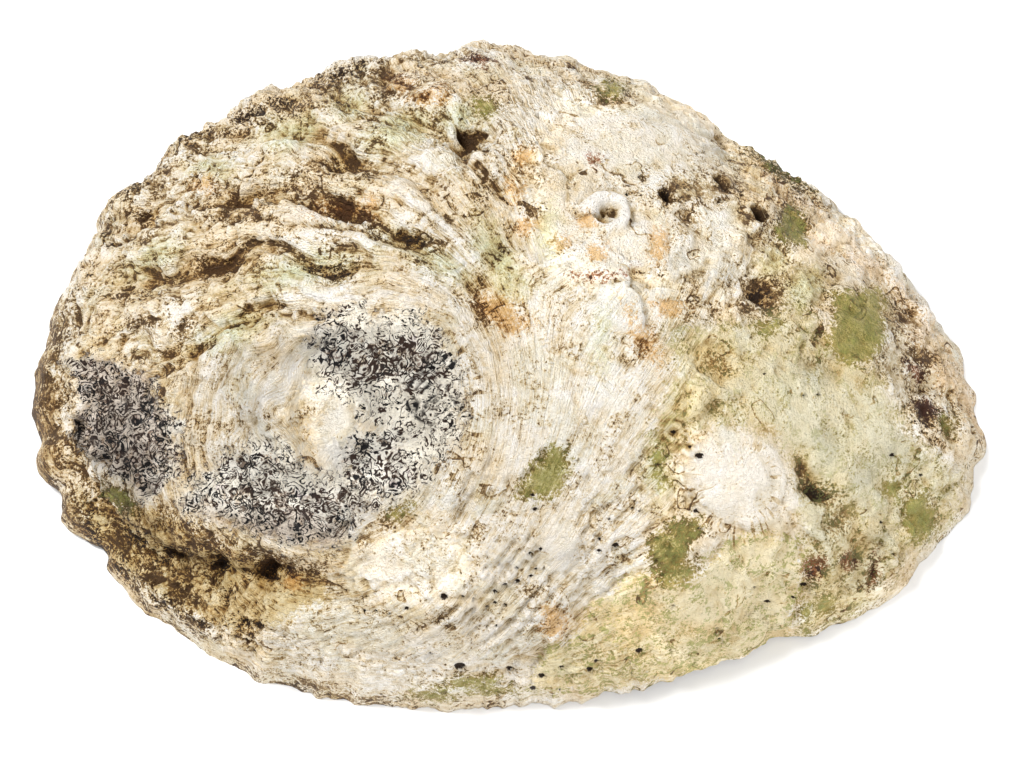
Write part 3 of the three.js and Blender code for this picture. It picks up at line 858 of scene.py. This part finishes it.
# Streaks of colour: how long they are and how closely they lie along growth lines, folds and margin
streaking = {
    "growth": (10, 1.3),
    "folds": (8, 0.6),
    "margin": (8, 75),
    "curl": 14,
    "curlReach": (6, 22),       # distance from the tip over which the curl of the growth streaks fades
    "foldsFrom": 0.4,
    "marginFrom": 0.91,
}


def flowPlaces(points, part):
    # places for the three kinds of streaks, and which of them each point follows
    fanDegrees, run = fanPlace(points)
    fading = 1 - smooth(tipDistance(points), *streaking["curlReach"])
    curled = growthPlace(points) + streaking["curl"] * hills(points, 7.0, 60) * fading
    flows = []
    for kind, value in (("growth", curled), ("folds", fanDegrees), ("margin", part)):
        length, spacing = streaking[kind]
        flows.append(netAlong(points, length, value * spacing))
    inFan = plateShare(fanDegrees, run) + 0.25 * hills(points, 4.0, 33) > streaking["foldsFrom"]
    inRim = part + 0.02 * hills(points, 6.0, 34) > streaking["marginFrom"]
    return np.stack(flows), np.where(inRim, 2, np.where(inFan, 1, 0))


def boreHoles(points):
    # moves the nearest corner of the net to each hole and says how far inside a hole every corner lies
    pixels = photoPixels(points)
    right, up, _ = viewAxes()
    scale = photoView["pixelsPerMm"]
    across, down = boring["ovalness"]
    inside = np.full(len(points), -markReach)
    for x, y, _ in boredHoles:
        nearest = np.argmin(np.hypot(pixels[:, 0] - x, pixels[:, 1] - y))
        shift = np.array([x, y]) - pixels[nearest]
        points[nearest] += (right * shift[0] - up * shift[1]) / scale
        pixels[nearest] = (x, y)
    for x, y, radius in boredHoles:
        gap = np.hypot((pixels[:, 0] - x) * across, (pixels[:, 1] - y) * down)
        inside = np.maximum(inside, (boring["size"] * radius - gap) / scale)
    return inside


def makeBack():
    cells = shellForm["backCells"]
    part, degrees = discGrid(cells)
    base = domePoints(part, degrees, 0, 0)
    fade = smooth(1 - part, 0, shellForm["rimBand"])
    broad = broadRelief(base, part) * fade
    points = base + gridNormals(base, cells) * broad[:, None]
    fine = fineRelief(points, part, photoFields(points))
    normals = gridNormals(points, cells)
    points = points + normals * fine[:, None]
    bore = boreHoles(points)
    points = points - normals * (boring["depth"] * smooth(bore, -0.3, 0.3) * fade)[:, None]
    rise = broad + fine
    fields = photoFields(points)
    fields["bore"] = bore
    # how far each point lies below or above the relief around it; the back's material paints shade in the
    # hollows and a highlight on the crests from these
    for name, reach in (("crevice", 9), ("nick", 3), ("line", 1)):
        fields[name] = rise - blurred(rise, cells, reach)
    fields["flows"], fields["flowChoice"] = flowPlaces(base, part)
    return points, fields


def makeHollow():
    cells = shellForm["hollowCells"]
    part, degrees = discGrid(cells)
    width, centre, spread = shellForm["shelf"]
    lip = shellForm["lip"] + width * hump(turnBetween(degrees, centre), spread)
    points = domePoints(part, degrees, lip, shellForm["wall"])
    fade = smooth(1 - part, 0, shellForm["rimBand"])
    relief = addHills(hollowRelief(points[:, 0], points[:, 1]), points, shellForm["hollowSwells"])
    return points + gridNormals(points, cells) * (relief * fade)[:, None]


def rimTriangles(outer, inner):
    # the strip between the back's edge and the hollow's, which has a third as many corners
    steps = len(outer) // len(inner)
    strip = []
    for i, corner in enumerate(inner):
        after = inner[(i + 1) % len(inner)]
        run = [outer[(steps * i + k) % len(outer)] for k in range(steps + 1)]
        middle = steps // 2
        for k in range(steps):
            strip.append((run[k + 1], run[k], corner if k <= middle else after))
            if k == middle:
                strip.append((run[k + 1], corner, after))
    return np.array(strip)


def newMesh(name, points, triangles):
    mesh = bpy.data.meshes.new(name)
    mesh.from_pydata((points * mm).tolist(), [], triangles.tolist())
    mesh.update()
    piece = bpy.data.objects.new(name, mesh)
    bpy.context.scene.collection.objects.link(piece)
    return piece


def poreCutter(x, y):
    # a tapered plug square to the back
    dx, dy = x - shellForm["centre"][0], y - shellForm["centre"][1]
    degrees = np.array([math.degrees(math.atan2(dy, dx)) % 360])
    part = math.hypot(dx, dy) / marginRadius(degrees)
    centre = domePoints(part, degrees, 0, 0)[0]
    along = domePoints(part + 0.02, degrees, 0, 0)[0] - centre
    across = domePoints(part, degrees + 2, 0, 0)[0] - centre
    normal = Vector(np.cross(along, across)).normalized()
    inner, outer = pores["innerRadius"] * mm, pores["outerRadius"] * mm
    bpy.ops.mesh.primitive_cone_add(vertices=24, radius1=inner, radius2=outer,
                                    depth=4 * shellForm["wall"] * mm, location=centre * mm)
    cutter = bpy.context.object
    cutter.rotation_euler = normal.to_track_quat("Z", "Y").to_euler()
    return cutter


def cutPores(piece):
    cutters = [poreCutter(x, y) for x, y in pores["places"]]
    for cutter in cutters:
        cut = piece.modifiers.new(cutter.name, "BOOLEAN")
        cut.operation = "DIFFERENCE"
        cut.object = cutter
    bpy.context.view_layer.update()
    evaluated = piece.evaluated_get(bpy.context.evaluated_depsgraph_get())
    mesh = bpy.data.meshes.new_from_object(evaluated)
    piece.modifiers.clear()
    piece.data = mesh
    for cutter in cutters:
        bpy.data.objects.remove(cutter)


def corners(mesh):
    places = np.empty(len(mesh.vertices) * 3)
    mesh.vertices.foreach_get("co", places)
    return places.reshape(-1, 3) / mm


def nearestCorners(wanted, known):
    tree = KDTree(len(known))
    for i, place in enumerate(known):
        tree.insert(place, i)
    tree.balance()
    return np.array([tree.find(place)[1] for place in wanted])


# What the materials read at each corner of the net, up to three values to an attribute
channels = {
    "groundA": ("worn", "limeCrust", "olive"),
    "groundB": ("mint", "greenGround", "pinkMargin"),
    "stainA": ("orange", "brown", "dark"),
    "stainB": ("maroon", "white", "grey"),
    "formA": ("ochreLedge", "bore"),
    "formB": ("crevice", "nick", "line"),
    "tones": ("pale", "tan", "dense"),
    "marks": ("lineless", "cavity", "ring"),
}
weatheredSlot, pearlySlot, wornSlot = 0, 1, 2
wornMargin = -2.2       # how far outside a worn place its material begins


def writeVectors(mesh, name, values, domain="POINT"):
    attribute = mesh.attributes.new(name, "FLOAT_VECTOR", domain)
    attribute.data.foreach_set("vector", np.ascontiguousarray(values, np.float32).ravel())


def writeMarks(mesh, fields, source, onBack):
    pick = np.where(onBack, source, 0)
    for name, kinds in channels.items():
        values = np.zeros((len(pick), 3))
        for i, kind in enumerate(kinds):
            values[:, i] = np.where(onBack, fields[kind][pick], -markReach)
        writeVectors(mesh, name, values)
    writeVectors(mesh, "place", corners(mesh))
    loops = np.empty(len(mesh.loops), int)
    mesh.loops.foreach_get("vertex_index", loops)
    starts = np.empty(len(mesh.polygons), int)
    mesh.polygons.foreach_get("loop_start", starts)
    # every face follows one kind of line, so the streaks break off cleanly where they change
    choice = np.repeat(fields["flowChoice"][pick][loops[starts]], np.diff(np.append(starts, len(loops))))
    writeVectors(mesh, "flow", fields["flows"][choice, pick[loops]], "CORNER")
    pearly = np.minimum.reduceat(~onBack[loops], starts)
    wornness = np.where(onBack, fields["worn"][pick], -markReach)[loops]
    worn = np.maximum.reduceat(wornness, starts) > wornMargin
    slots = np.where(pearly, pearlySlot, np.where(worn, wornSlot, weatheredSlot))
    mesh.polygons.foreach_set("material_index", slots)
    mesh.polygons.foreach_set("use_smooth", np.ones(len(mesh.polygons), bool))
    mesh.update()


def makeShell():
    back, fields = makeBack()
    hollow = makeHollow()
    backFaces = gridTriangles(back, shellForm["backCells"])
    hollowFaces = gridTriangles(hollow, shellForm["hollowCells"])[:, ::-1] + len(back)
    inner = edgeLoop(shellForm["hollowCells"]) + len(back)
    strip = rimTriangles(edgeLoop(shellForm["backCells"]), inner)
    points = np.vstack([back, hollow])
    points[:, 2] -= points[:, 2].min()
    piece = newMesh("shellBody", points, np.concatenate([backFaces, strip, hollowFaces]))
    cutPores(piece)
    source = nearestCorners(corners(piece.data), points)
    writeMarks(piece.data, fields, source, source < len(back))
    return piece


shell = makeShell()
print("shell shaped:", len(shell.data.polygons), "faces")


# Small tools for materials

def colour(red, green, blue):
    # a colour as read from a screen, 0 to 255
    values = np.array([red, green, blue]) / 255
    return tuple(np.where(values > 0.04045, ((values + 0.055) / 1.055) ** 2.4, values / 12.92)) + (1.0,)


class Tone:
    # a value or colour that a node gives. Adding to it or multiplying it adds a node to its material.

    def __init__(self, socket):
        self.socket = socket

    def __add__(self, other):
        return calc("ADD", self, other)

    def __sub__(self, other):
        return calc("SUBTRACT", self, other)

    def __mul__(self, other):
        return calc("MULTIPLY", self, other)

    __radd__ = __add__


def plug(socket, value):
    if isinstance(value, Tone):
        socket.id_data.links.new(value.socket, socket)
    else:
        socket.default_value = value


def add(kind, inputs, **settings):
    # adds a node to the material that its inputs come from, and gives a tone for each output
    tree = next(value.socket.id_data for value in inputs.values() if isinstance(value, Tone))
    node = tree.nodes.new("ShaderNode" + kind)
    for name, value in settings.items():
        setattr(node, name, value)
    for name, value in inputs.items():
        plug(node.inputs[name], value)
    return [Tone(output) for output in node.outputs]


def calc(operation, a, b=0.0):
    return add("Math", {0: a, 1: b}, operation=operation)[0]


def larger(a, b):
    return calc("MAXIMUM", a, b)


def split(vector):
    return add("SeparateXYZ", {0: vector})


def join(x, y, z):
    return add("CombineXYZ", {0: x, 1: y, 2: z})[0]


def stretch(vector, factors):
    return add("VectorMath", {0: vector, 1: factors}, operation="MULTIPLY")[0]


def bend(vector, by, factors):
    return add("VectorMath", {0: by, 1: factors, 2: vector}, operation="MULTIPLY_ADD")[0]


def noise(vector, scale, detail=2.0, roughness=0.5, warp=0.0):
    # gives a value and a colour
    inputs = {"Vector": vector, "Scale": scale, "Detail": detail, "Roughness": roughness, "Distortion": warp}
    return add("TexNoise", inputs)


def step(value, low, high):
    inputs = {"Value": value, "From Min": low, "From Max": high}
    return add("MapRange", inputs, interpolation_type="SMOOTHSTEP")[0]


def cover(base, share, tint, mode):
    # base and tint are each a tone, or red, green and blue of 255
    base, tint = (colour(*tone) if isinstance(tone, tuple) else tone for tone in (base, tint))
    return add("Mix", {0: share, 6: base, 7: tint}, data_type="RGBA", blend_type=mode)[2]


def paint(base, share, tint):
    return cover(base, share, tint, "MIX")


def stain(base, share, tint):
    return cover(base, share, tint, "MULTIPLY")


def newMaterial(name):
    material = bpy.data.materials.new(name)
    material.use_nodes = True
    return material, material.node_tree.nodes["Principled BSDF"]


def readAttribute(material, name):
    node = material.node_tree.nodes.new("ShaderNodeAttribute")
    node.attribute_name = name
    return Tone(node.outputs["Vector"])


def readMarks(material):
    marks = {}
    for name, kinds in channels.items():
        marks.update(zip(kinds, split(readAttribute(material, name))))
    return marks


def finishSurface(surface, look, base, height):
    plug(surface.inputs["Base Color"], base)
    for name, value in look["finish"].items():
        surface.inputs[name].default_value = value
    strength, distance = look["bump"]
    bumps = add("Bump", {"Height": height, "Strength": strength, "Distance": distance})
    plug(surface.inputs["Normal"], bumps[0])


# Worn mother-of-pearl of the spire: red, green and blue of 255
nacre = {
    "cream": (252, 243, 224),
    "sand": (230, 211, 182),
    "mauve": (206, 190, 192),
    "blue": (186, 192, 196),
    "brown": (160, 126, 90),
    "shade": (160, 142, 128),
    "darkGrain": (128, 106, 92),
    "paleGrain": (252, 246, 234),
    "speck": (132, 102, 74),
    "arc": (252, 245, 230),
    "brownInk": (58, 40, 30),
    "blackInk": (20, 17, 18),
    "dull": (216, 208, 204),
    "grainScale": 0.62,
    "lineDepth": -0.7,
}


def wornNacre(base, place, fine, mottle, marks, ringEdge):
    # nested curls, white and near black, that thin out towards the edge of the worn place
    ragged = marks["worn"] + (fine - 0.5) * 4.0 + (mottle - 0.5) * 9.0
    inside = step(ragged, -1.4, 1.4)
    heavy = step(marks["dense"] + (mottle - 0.5) * 12.0, -1.5, 2.0)
    curls = calc("PINGPONG", noise(place, 0.34, 1.5, 0.5, 1.5)[0] * (3.6 + mottle * 4.0), 0.5)
    gate = noise(place, 0.6, 2, 0.6, 0.5)[0]
    tint = split(noise(place, 0.22, 2)[1])
    # round grains with a crescent of shadow round part of each
    bent = bend(place, join(fine, mottle, fine), (1.4, 2.5, 1.4))
    distance, cell = add("TexVoronoi", {"Vector": bent, "Scale": nacre["grainScale"]})[:2]
    size, fallen, _ = split(cell)
    rim = calc("ABSOLUTE", distance + size * -0.25 - 0.26)
    crescents = step(rim + heavy * -0.03 - 0.02, 0.03, 0.01)
    grey = paint(nacre["sand"], step(tint[0], 0.48, 0.62), nacre["mauve"])
    grey = paint(grey, step(tint[1], 0.56, 0.68), nacre["blue"])
    grey = paint(grey, step(tint[2], 0.46, 0.6) * 0.8, nacre["brown"])
    grey = stain(grey, step(mottle, 0.58, 0.42), nacre["shade"])
    grey = stain(grey, step(size, 0.66, 0.7), nacre["darkGrain"])
    grey = paint(grey, step(size, 0.44, 0.38), nacre["paleGrain"])
    ground = paint(nacre["cream"], heavy * 0.85, grey)
    ground = paint(ground, step(fine, 0.54, 0.66) * 0.6, nacre["speck"])
    base = paint(base, step(ragged, -1.6, 1.6), ground)
    base = paint(base, step(curls, 0.26, 0.4) * step(fine, 0.4, 0.5) * (inside * 0.9), nacre["arc"])
    shown = gate + inside * 0.14 + heavy * 0.11 + (fine - 0.5) * 0.5 + (tint[0] - 0.5) * 0.6
    wide = curls + heavy * -0.06 + inside * -0.04 + (gate - 0.5) * -0.3
    nested = step(wide, 0.1, 0.06) * step(shown, 0.61, 0.65)
    hidden = shown * -1.0 + 1.28 + heavy * 0.2
    lines = larger(nested, crescents * step(hidden, 0.66, 0.7))
    # some grains have fallen out and left a dark pit
    pits = step(fallen, 0.86, 0.88) * step(distance, 0.36, 0.3)
    lines = larger(lines, pits * step(heavy, 0.1, 0.4))
    lines = larger(lines, ringEdge * step(mottle, 0.48, 0.56))
    lines = lines * step(inside, 0.0, 0.2)
    ink = paint(nacre["brownInk"], step(tint[1], 0.44, 0.56), nacre["blackInk"])
    return paint(base, lines, ink), lines


def flakeEdges(place, gate):
    # broken dark lines along the edges of flakes, with a soft shadow on one side of each
    level = calc("FRACT", noise(place, 0.12, 2, 0.55, 0.4)[0] * 3.2)
    shown = step(gate, 0.44, 0.5)
    return level, step(level, 0.09, 0.04) * shown, step(level, 0.45, 0.0) * shown


# Short marks that point outwards round a patch, on the side that is given in degrees
tickRings = {
    "roundPatch": {"centre": (35, -29), "radius": 6.6, "halfWidth": 1.2, "count": 60.0,
                   "side": -60, "from": -0.7, "dirtAndShade": 0.4},
    "nacreEdge": {"centre": (-16.8, -20.5), "radius": 12.4, "halfWidth": 1.1, "count": 75.0,
                  "side": 10, "from": 0.3, "dirtAndShade": 0.5},
}


def tickMarks(place, fine, ring):
    x, y, _ = split(place)
    dx, dy = x - ring["centre"][0], y - ring["centre"][1]
    radius = calc("SQRT", dx * dx + dy * dy)
    turn = calc("ARCTAN2", dy, dx) * (ring["count"] / (2 * math.pi))
    marks = noise(join(turn, radius * 0.25, 0.0), 1.0)[0]
    off = calc("ABSOLUTE", radius - ring["radius"] + (fine - 0.5) * 3.0)
    side = math.radians(ring["side"])
    facing = dx * math.cos(side) + dy * math.sin(side)
    first = ring["radius"] * ring["from"]
    near = step(off, ring["halfWidth"] * 1.4, ring["halfWidth"] * 0.6) * step(facing, first, first + 2.0)
    return step(marks, 0.57, 0.61) * near


# The weathered back. Colours are red, green and blue of 255, noises are scale, detail, roughness and warp.
weathering = {
    "broad": (0.085, 2, 0.55),
    "mottle": (0.42, 3, 0.6, 0.4),
    "gate": (0.3, 2, 0.6),
    "fine": (1.9, 2, 0.85),
    "streaks": (1.0, 3, 0.65),
    "fibres": (1.0, 2, 0.7),
    "fibreStretch": (2.0, 2.0, 3.6),
    "flakeScale": 0.2,
    # from clean to deep brown
    "dirtAndShade": ((0.0, (244, 238, 229)), (0.22, (236, 226, 208)), (0.4, (224, 208, 180)),
             (0.54, (202, 181, 143)), (0.66, (166, 138, 94)), (0.8, (110, 82, 48)), (1.0, (46, 32, 20))),
    "dirtBase": 0.34,
    "dirtLimit": 0.92,
    "looseness": 1.25,
    # how wide the edge of each kind of mark is, and how much dirt it adds
    "dirtiness": {"tan": (2.0, 0.12), "ochreLedge": (1.0, 0.12), "brown": (0.7, 0.27),
                  "maroon": (0.4, 0.26), "olive": (0.4, 0.14), "greenGround": (1.6, -0.07),
                  "limeCrust": (0.5, -0.06)},
    # tint of each kind of mark, how wide its edge is and how strong it is
    "tints": {
        "greenGround": ((238, 236, 215), 1.6, 1.0),
        "pinkMargin": ((255, 244, 232), 0.8, 1.0),
        "ochreLedge": ((232, 220, 184), 1.0, 0.9),
        "grey": ((232, 234, 236), 0.6, 0.9),
        "mint": ((234, 242, 220), 2.4, 1.0),
        "limeCrust": ((246, 238, 208), 0.5, 0.95),
        "olive": ((196, 192, 134), 0.5, 0.9),
        "orange": ((242, 206, 152), 0.9, 0.85),
        "maroon": ((190, 134, 112), 0.5, 0.9),
    },
    "peach": (250, 241, 225),
    "coolFlakes": (240, 241, 230),
    # painted shade with stain in the crevices of the relief
    "creviceShadeAndStain": (243, 232, 206),
    "oliveCore": (140, 138, 72),
    "moss": (160, 160, 94),
    # painted shade of the bored holes
    "holeShade": (46, 33, 22),
    "finish": {"Roughness": 0.62, "Specular IOR Level": 0.3},
    "bump": (1.0, 0.0011),      # strength and height in metres
}


def dirtAndShadeColours(dirtAndShade):
    node = dirtAndShade.socket.id_data.nodes.new("ShaderNodeValToRGB")
    plug(node.inputs[0], dirtAndShade)
    elements = node.color_ramp.elements
    while len(elements) < len(weathering["dirtAndShade"]):
        elements.new(0.5)
    for element, (position, tone) in zip(elements, weathering["dirtAndShade"]):
        element.position = position
        element.color = colour(*tone)
    return Tone(node.outputs[0])


def weatheredMaterial(name, withNacre):
    material, surface = newMaterial(name)
    place, flow = readAttribute(material, "place"), readAttribute(material, "flow")
    marks = readMarks(material)
    kinds = ("broad", "mottle", "gate", "fine")
    broad, mottle, gate, fine = (noise(place, *weathering[kind])[0] for kind in kinds)
    streaks = noise(flow, *weathering["streaks"])[0]
    fibres = noise(stretch(flow, weathering["fibreStretch"]), *weathering["fibres"])[0]
    ragged = (mottle - 0.5) * 4.0 + (fine - 0.5) * 6.5 + (streaks - 0.5) * 2.0

    def patch(kind, width=0.4):
        return step(marks[kind] + ragged, -width, width)

    # large flakes of slightly different tint, and broken lines along the edges of others
    bent = bend(place, noise(place, 0.3, 1)[1], (6.0, 6.0, 6.0))
    flake = split(add("TexVoronoi", {"Vector": bent, "Scale": weathering["flakeScale"]})[1])
    level, edgeLines, edgeShadow = flakeEdges(place, gate)

    # hairlines along the streaks and specks between them
    hairs = step(calc("ABSOLUTE", streaks - 0.49), 0.014, 0.003) * step(mottle, 0.46, 0.56)
    specks = step(fine, 0.585, 0.615) * 0.45 + step(fine, 0.66, 0.69) * 0.8
    lined = step(marks["lineless"] + ragged, 2.5, -1.5)
    grain = (streaks - 0.5) * 0.8 + (fibres - 0.5) * 0.9 + hairs * 0.35
    busy = step(gate, 0.44, 0.6)

    # how dirty each point is, and painted shade and highlight: darker in the crevices and nicks of the
    # relief and beside the edges of flakes, lighter on its crests
    whiteShare = patch("white")
    paleShare = step(marks["pale"] + ragged, -2.5, 2.5)
    grit = 0.55 + busy * 1.25 + paleShare * -0.15 + whiteShare * -0.2
    loose = (fine - 0.5) * grit + (mottle - 0.5) * 0.45 + grain * (0.15 + lined * 0.85)
    # a painted soft shadow beside the edges of flakes goes in too
    loose = loose + (flake[0] - 0.5) * 0.14 + specks * busy * 0.4 + edgeShadow * 0.14
    calm = weathering["looseness"] + whiteShare * -0.25 + paleShare * -0.25
    ringEdge = step(marks["ring"], -0.9, -0.2) * step(marks["ring"], 0.2, -0.1)
    dirtAndShade = weathering["dirtBase"] + loose * calm + paleShare * -0.12 + whiteShare * -0.12
    # painted shade in the crevices and nicks of the relief, and a painted highlight on its crests
    dirtAndShade = dirtAndShade + step(marks["crevice"], -0.2, -2.8) * 0.13 + marks["nick"] * -0.12 + marks["line"] * -0.5
    for kind, (width, share) in weathering["dirtiness"].items():
        dirtAndShade = dirtAndShade + patch(kind, width) * share
    dirtAndShade = dirtAndShade + step(marks["cavity"], -0.5, 0.3) * 0.26 + ringEdge * 0.16
    # painted shadow lines along the edges of flakes, with brown dirt in them
    dirtAndShade = dirtAndShade + edgeLines * (0.36 + lined * paleShare * -0.24)
    for ring in tickRings.values():
        dirtAndShade = dirtAndShade + tickMarks(place, fine, ring) * ring["dirtAndShade"]
    dirtAndShade = calc("MINIMUM", dirtAndShade, weathering["dirtLimit"]) + patch("dark") * 0.25

    # tints of algae, lime and rust over it, and painted shade with stain in the crevices
    base = stain(dirtAndShadeColours(dirtAndShade), step(broad, 0.42, 0.6) * (1.0 + paleShare * -0.7), weathering["peach"])
    base = stain(base, step(flake[1], 0.5, 1.0) * 0.5, weathering["coolFlakes"])
    # painted shade with stain: the crevices of the relief are tinted darker
    base = stain(base, step(marks["crevice"], -0.3, -2.4), weathering["creviceShadeAndStain"])
    for kind, (tint, width, share) in weathering["tints"].items():
        base = stain(base, patch(kind, width) * share, tint)
    core = step(marks["olive"] + ragged, 0.0, 2.0) * (-0.7 + mottle * 1.3 + fine * 1.3)
    base = paint(base, core, weathering["oliveCore"])
    moss = step(mottle + loose * 0.5 + (fine - 0.5) * 0.7, 0.58, 0.68)
    mossy = larger(patch("limeCrust", 0.3), patch("greenGround", 1.6) * 0.45)
    base = paint(base, mossy * (moss * 0.75), weathering["moss"])

    relief = fine + streaks * lined * 0.9 + fibres * lined * 0.6 + level * busy * 0.35
    if withNacre:
        base, lines = wornNacre(base, place, fine, mottle, marks, ringEdge)
        base = stain(base, patch("tan", 2.0) * step(marks["worn"], -1.6, 0.4), nacre["dull"])
        relief = relief + lines * nacre["lineDepth"]
    # painted shade: the bored holes are painted near black for the dark inside them
    base = paint(base, step(marks["bore"] + (fine - 0.5) * 0.6, -0.02, 0.1), weathering["holeShade"])
    finishSurface(surface, weathering, base, relief)
    return material


# The smooth hollow: silver, green and pink bands that follow the growth
pearl = {
    "silver": (214, 206, 214),
    "green": (176, 204, 196),
    "pink": (226, 190, 200),
    "blue": (160, 182, 206),
    "cloud": (236, 232, 226),
    "bands": (9.0, 31.0),
    "finish": {"Roughness": 0.24, "Coat Weight": 0.4, "Coat Roughness": 0.12, "Metallic": 0.15},
    "bump": (0.35, 0.0004),
}


def pearlMaterial():
    material, surface = newMaterial("pearlyHollow")
    place = readAttribute(material, "place")
    flow = noise(stretch(place, (0.6, 1.0, 1.4)), 0.035, 4, 0.55, 1.2)[0]
    broad, narrow = (calc("PINGPONG", flow * count, 0.5) for count in pearl["bands"])
    base = paint(pearl["silver"], step(broad, 0.0, 0.25), pearl["green"])
    base = paint(base, step(broad, 0.22, 0.5), pearl["pink"])
    base = paint(base, step(narrow, 0.1, 0.4) * 0.35, pearl["blue"])
    base = paint(base, step(noise(place, 0.12, 4, 0.6)[0], 0.48, 0.7) * 0.6, pearl["cloud"])
    finishSurface(surface, pearl, base, noise(place, 0.7, 3, 0.5)[0])
    return material


shell.data.materials.append(weatheredMaterial("weatheredBack", False))
shell.data.materials.append(pearlMaterial())
shell.data.materials.append(weatheredMaterial("wornSpire", True))
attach(shell, "root")
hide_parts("shell")
print("shell coloured")

# Floor and light
studio = {
    "floorSize": 3.0,
    "floorColour": (246, 246, 246),
    "floorRoughness": 0.8,
    "skyStrength": 0.66,
    "key": {"place": (-0.45, 0.2, 0.85), "size": 0.25, "power": 10.0},
    "fill": {"place": (0.6, -0.8, 0.6), "size": 0.8, "power": 7.5},
}


def addFloor():
    bpy.ops.mesh.primitive_plane_add(size=studio["floorSize"])
    floor = bpy.context.object
    floor.name = "paleFloor"
    material, surface = newMaterial("paleFloor")
    surface.inputs["Base Color"].default_value = colour(*studio["floorColour"])
    surface.inputs["Roughness"].default_value = studio["floorRoughness"]
    floor.data.materials.append(material)


def addLamp(name):
    choice = studio[name]
    data = bpy.data.lights.new(name, "AREA")
    data.size = choice["size"]
    data.energy = choice["power"]
    lamp = bpy.data.objects.new(name, data)
    lamp.location = choice["place"]
    lamp.rotation_euler = (-Vector(choice["place"])).to_track_quat("-Z", "Y").to_euler()
    bpy.context.scene.collection.objects.link(lamp)


def addSky():
    world = bpy.data.worlds.new("studio")
    world.use_nodes = True
    background = world.node_tree.nodes["Background"]
    background.inputs["Color"].default_value = (1, 1, 1, 1)
    background.inputs["Strength"].default_value = studio["skyStrength"]
    bpy.context.scene.world = world
    bpy.context.scene.view_settings.view_transform = "Standard"


addFloor()
addLamp("key")
addLamp("fill")
addSky()
print("studio lit")
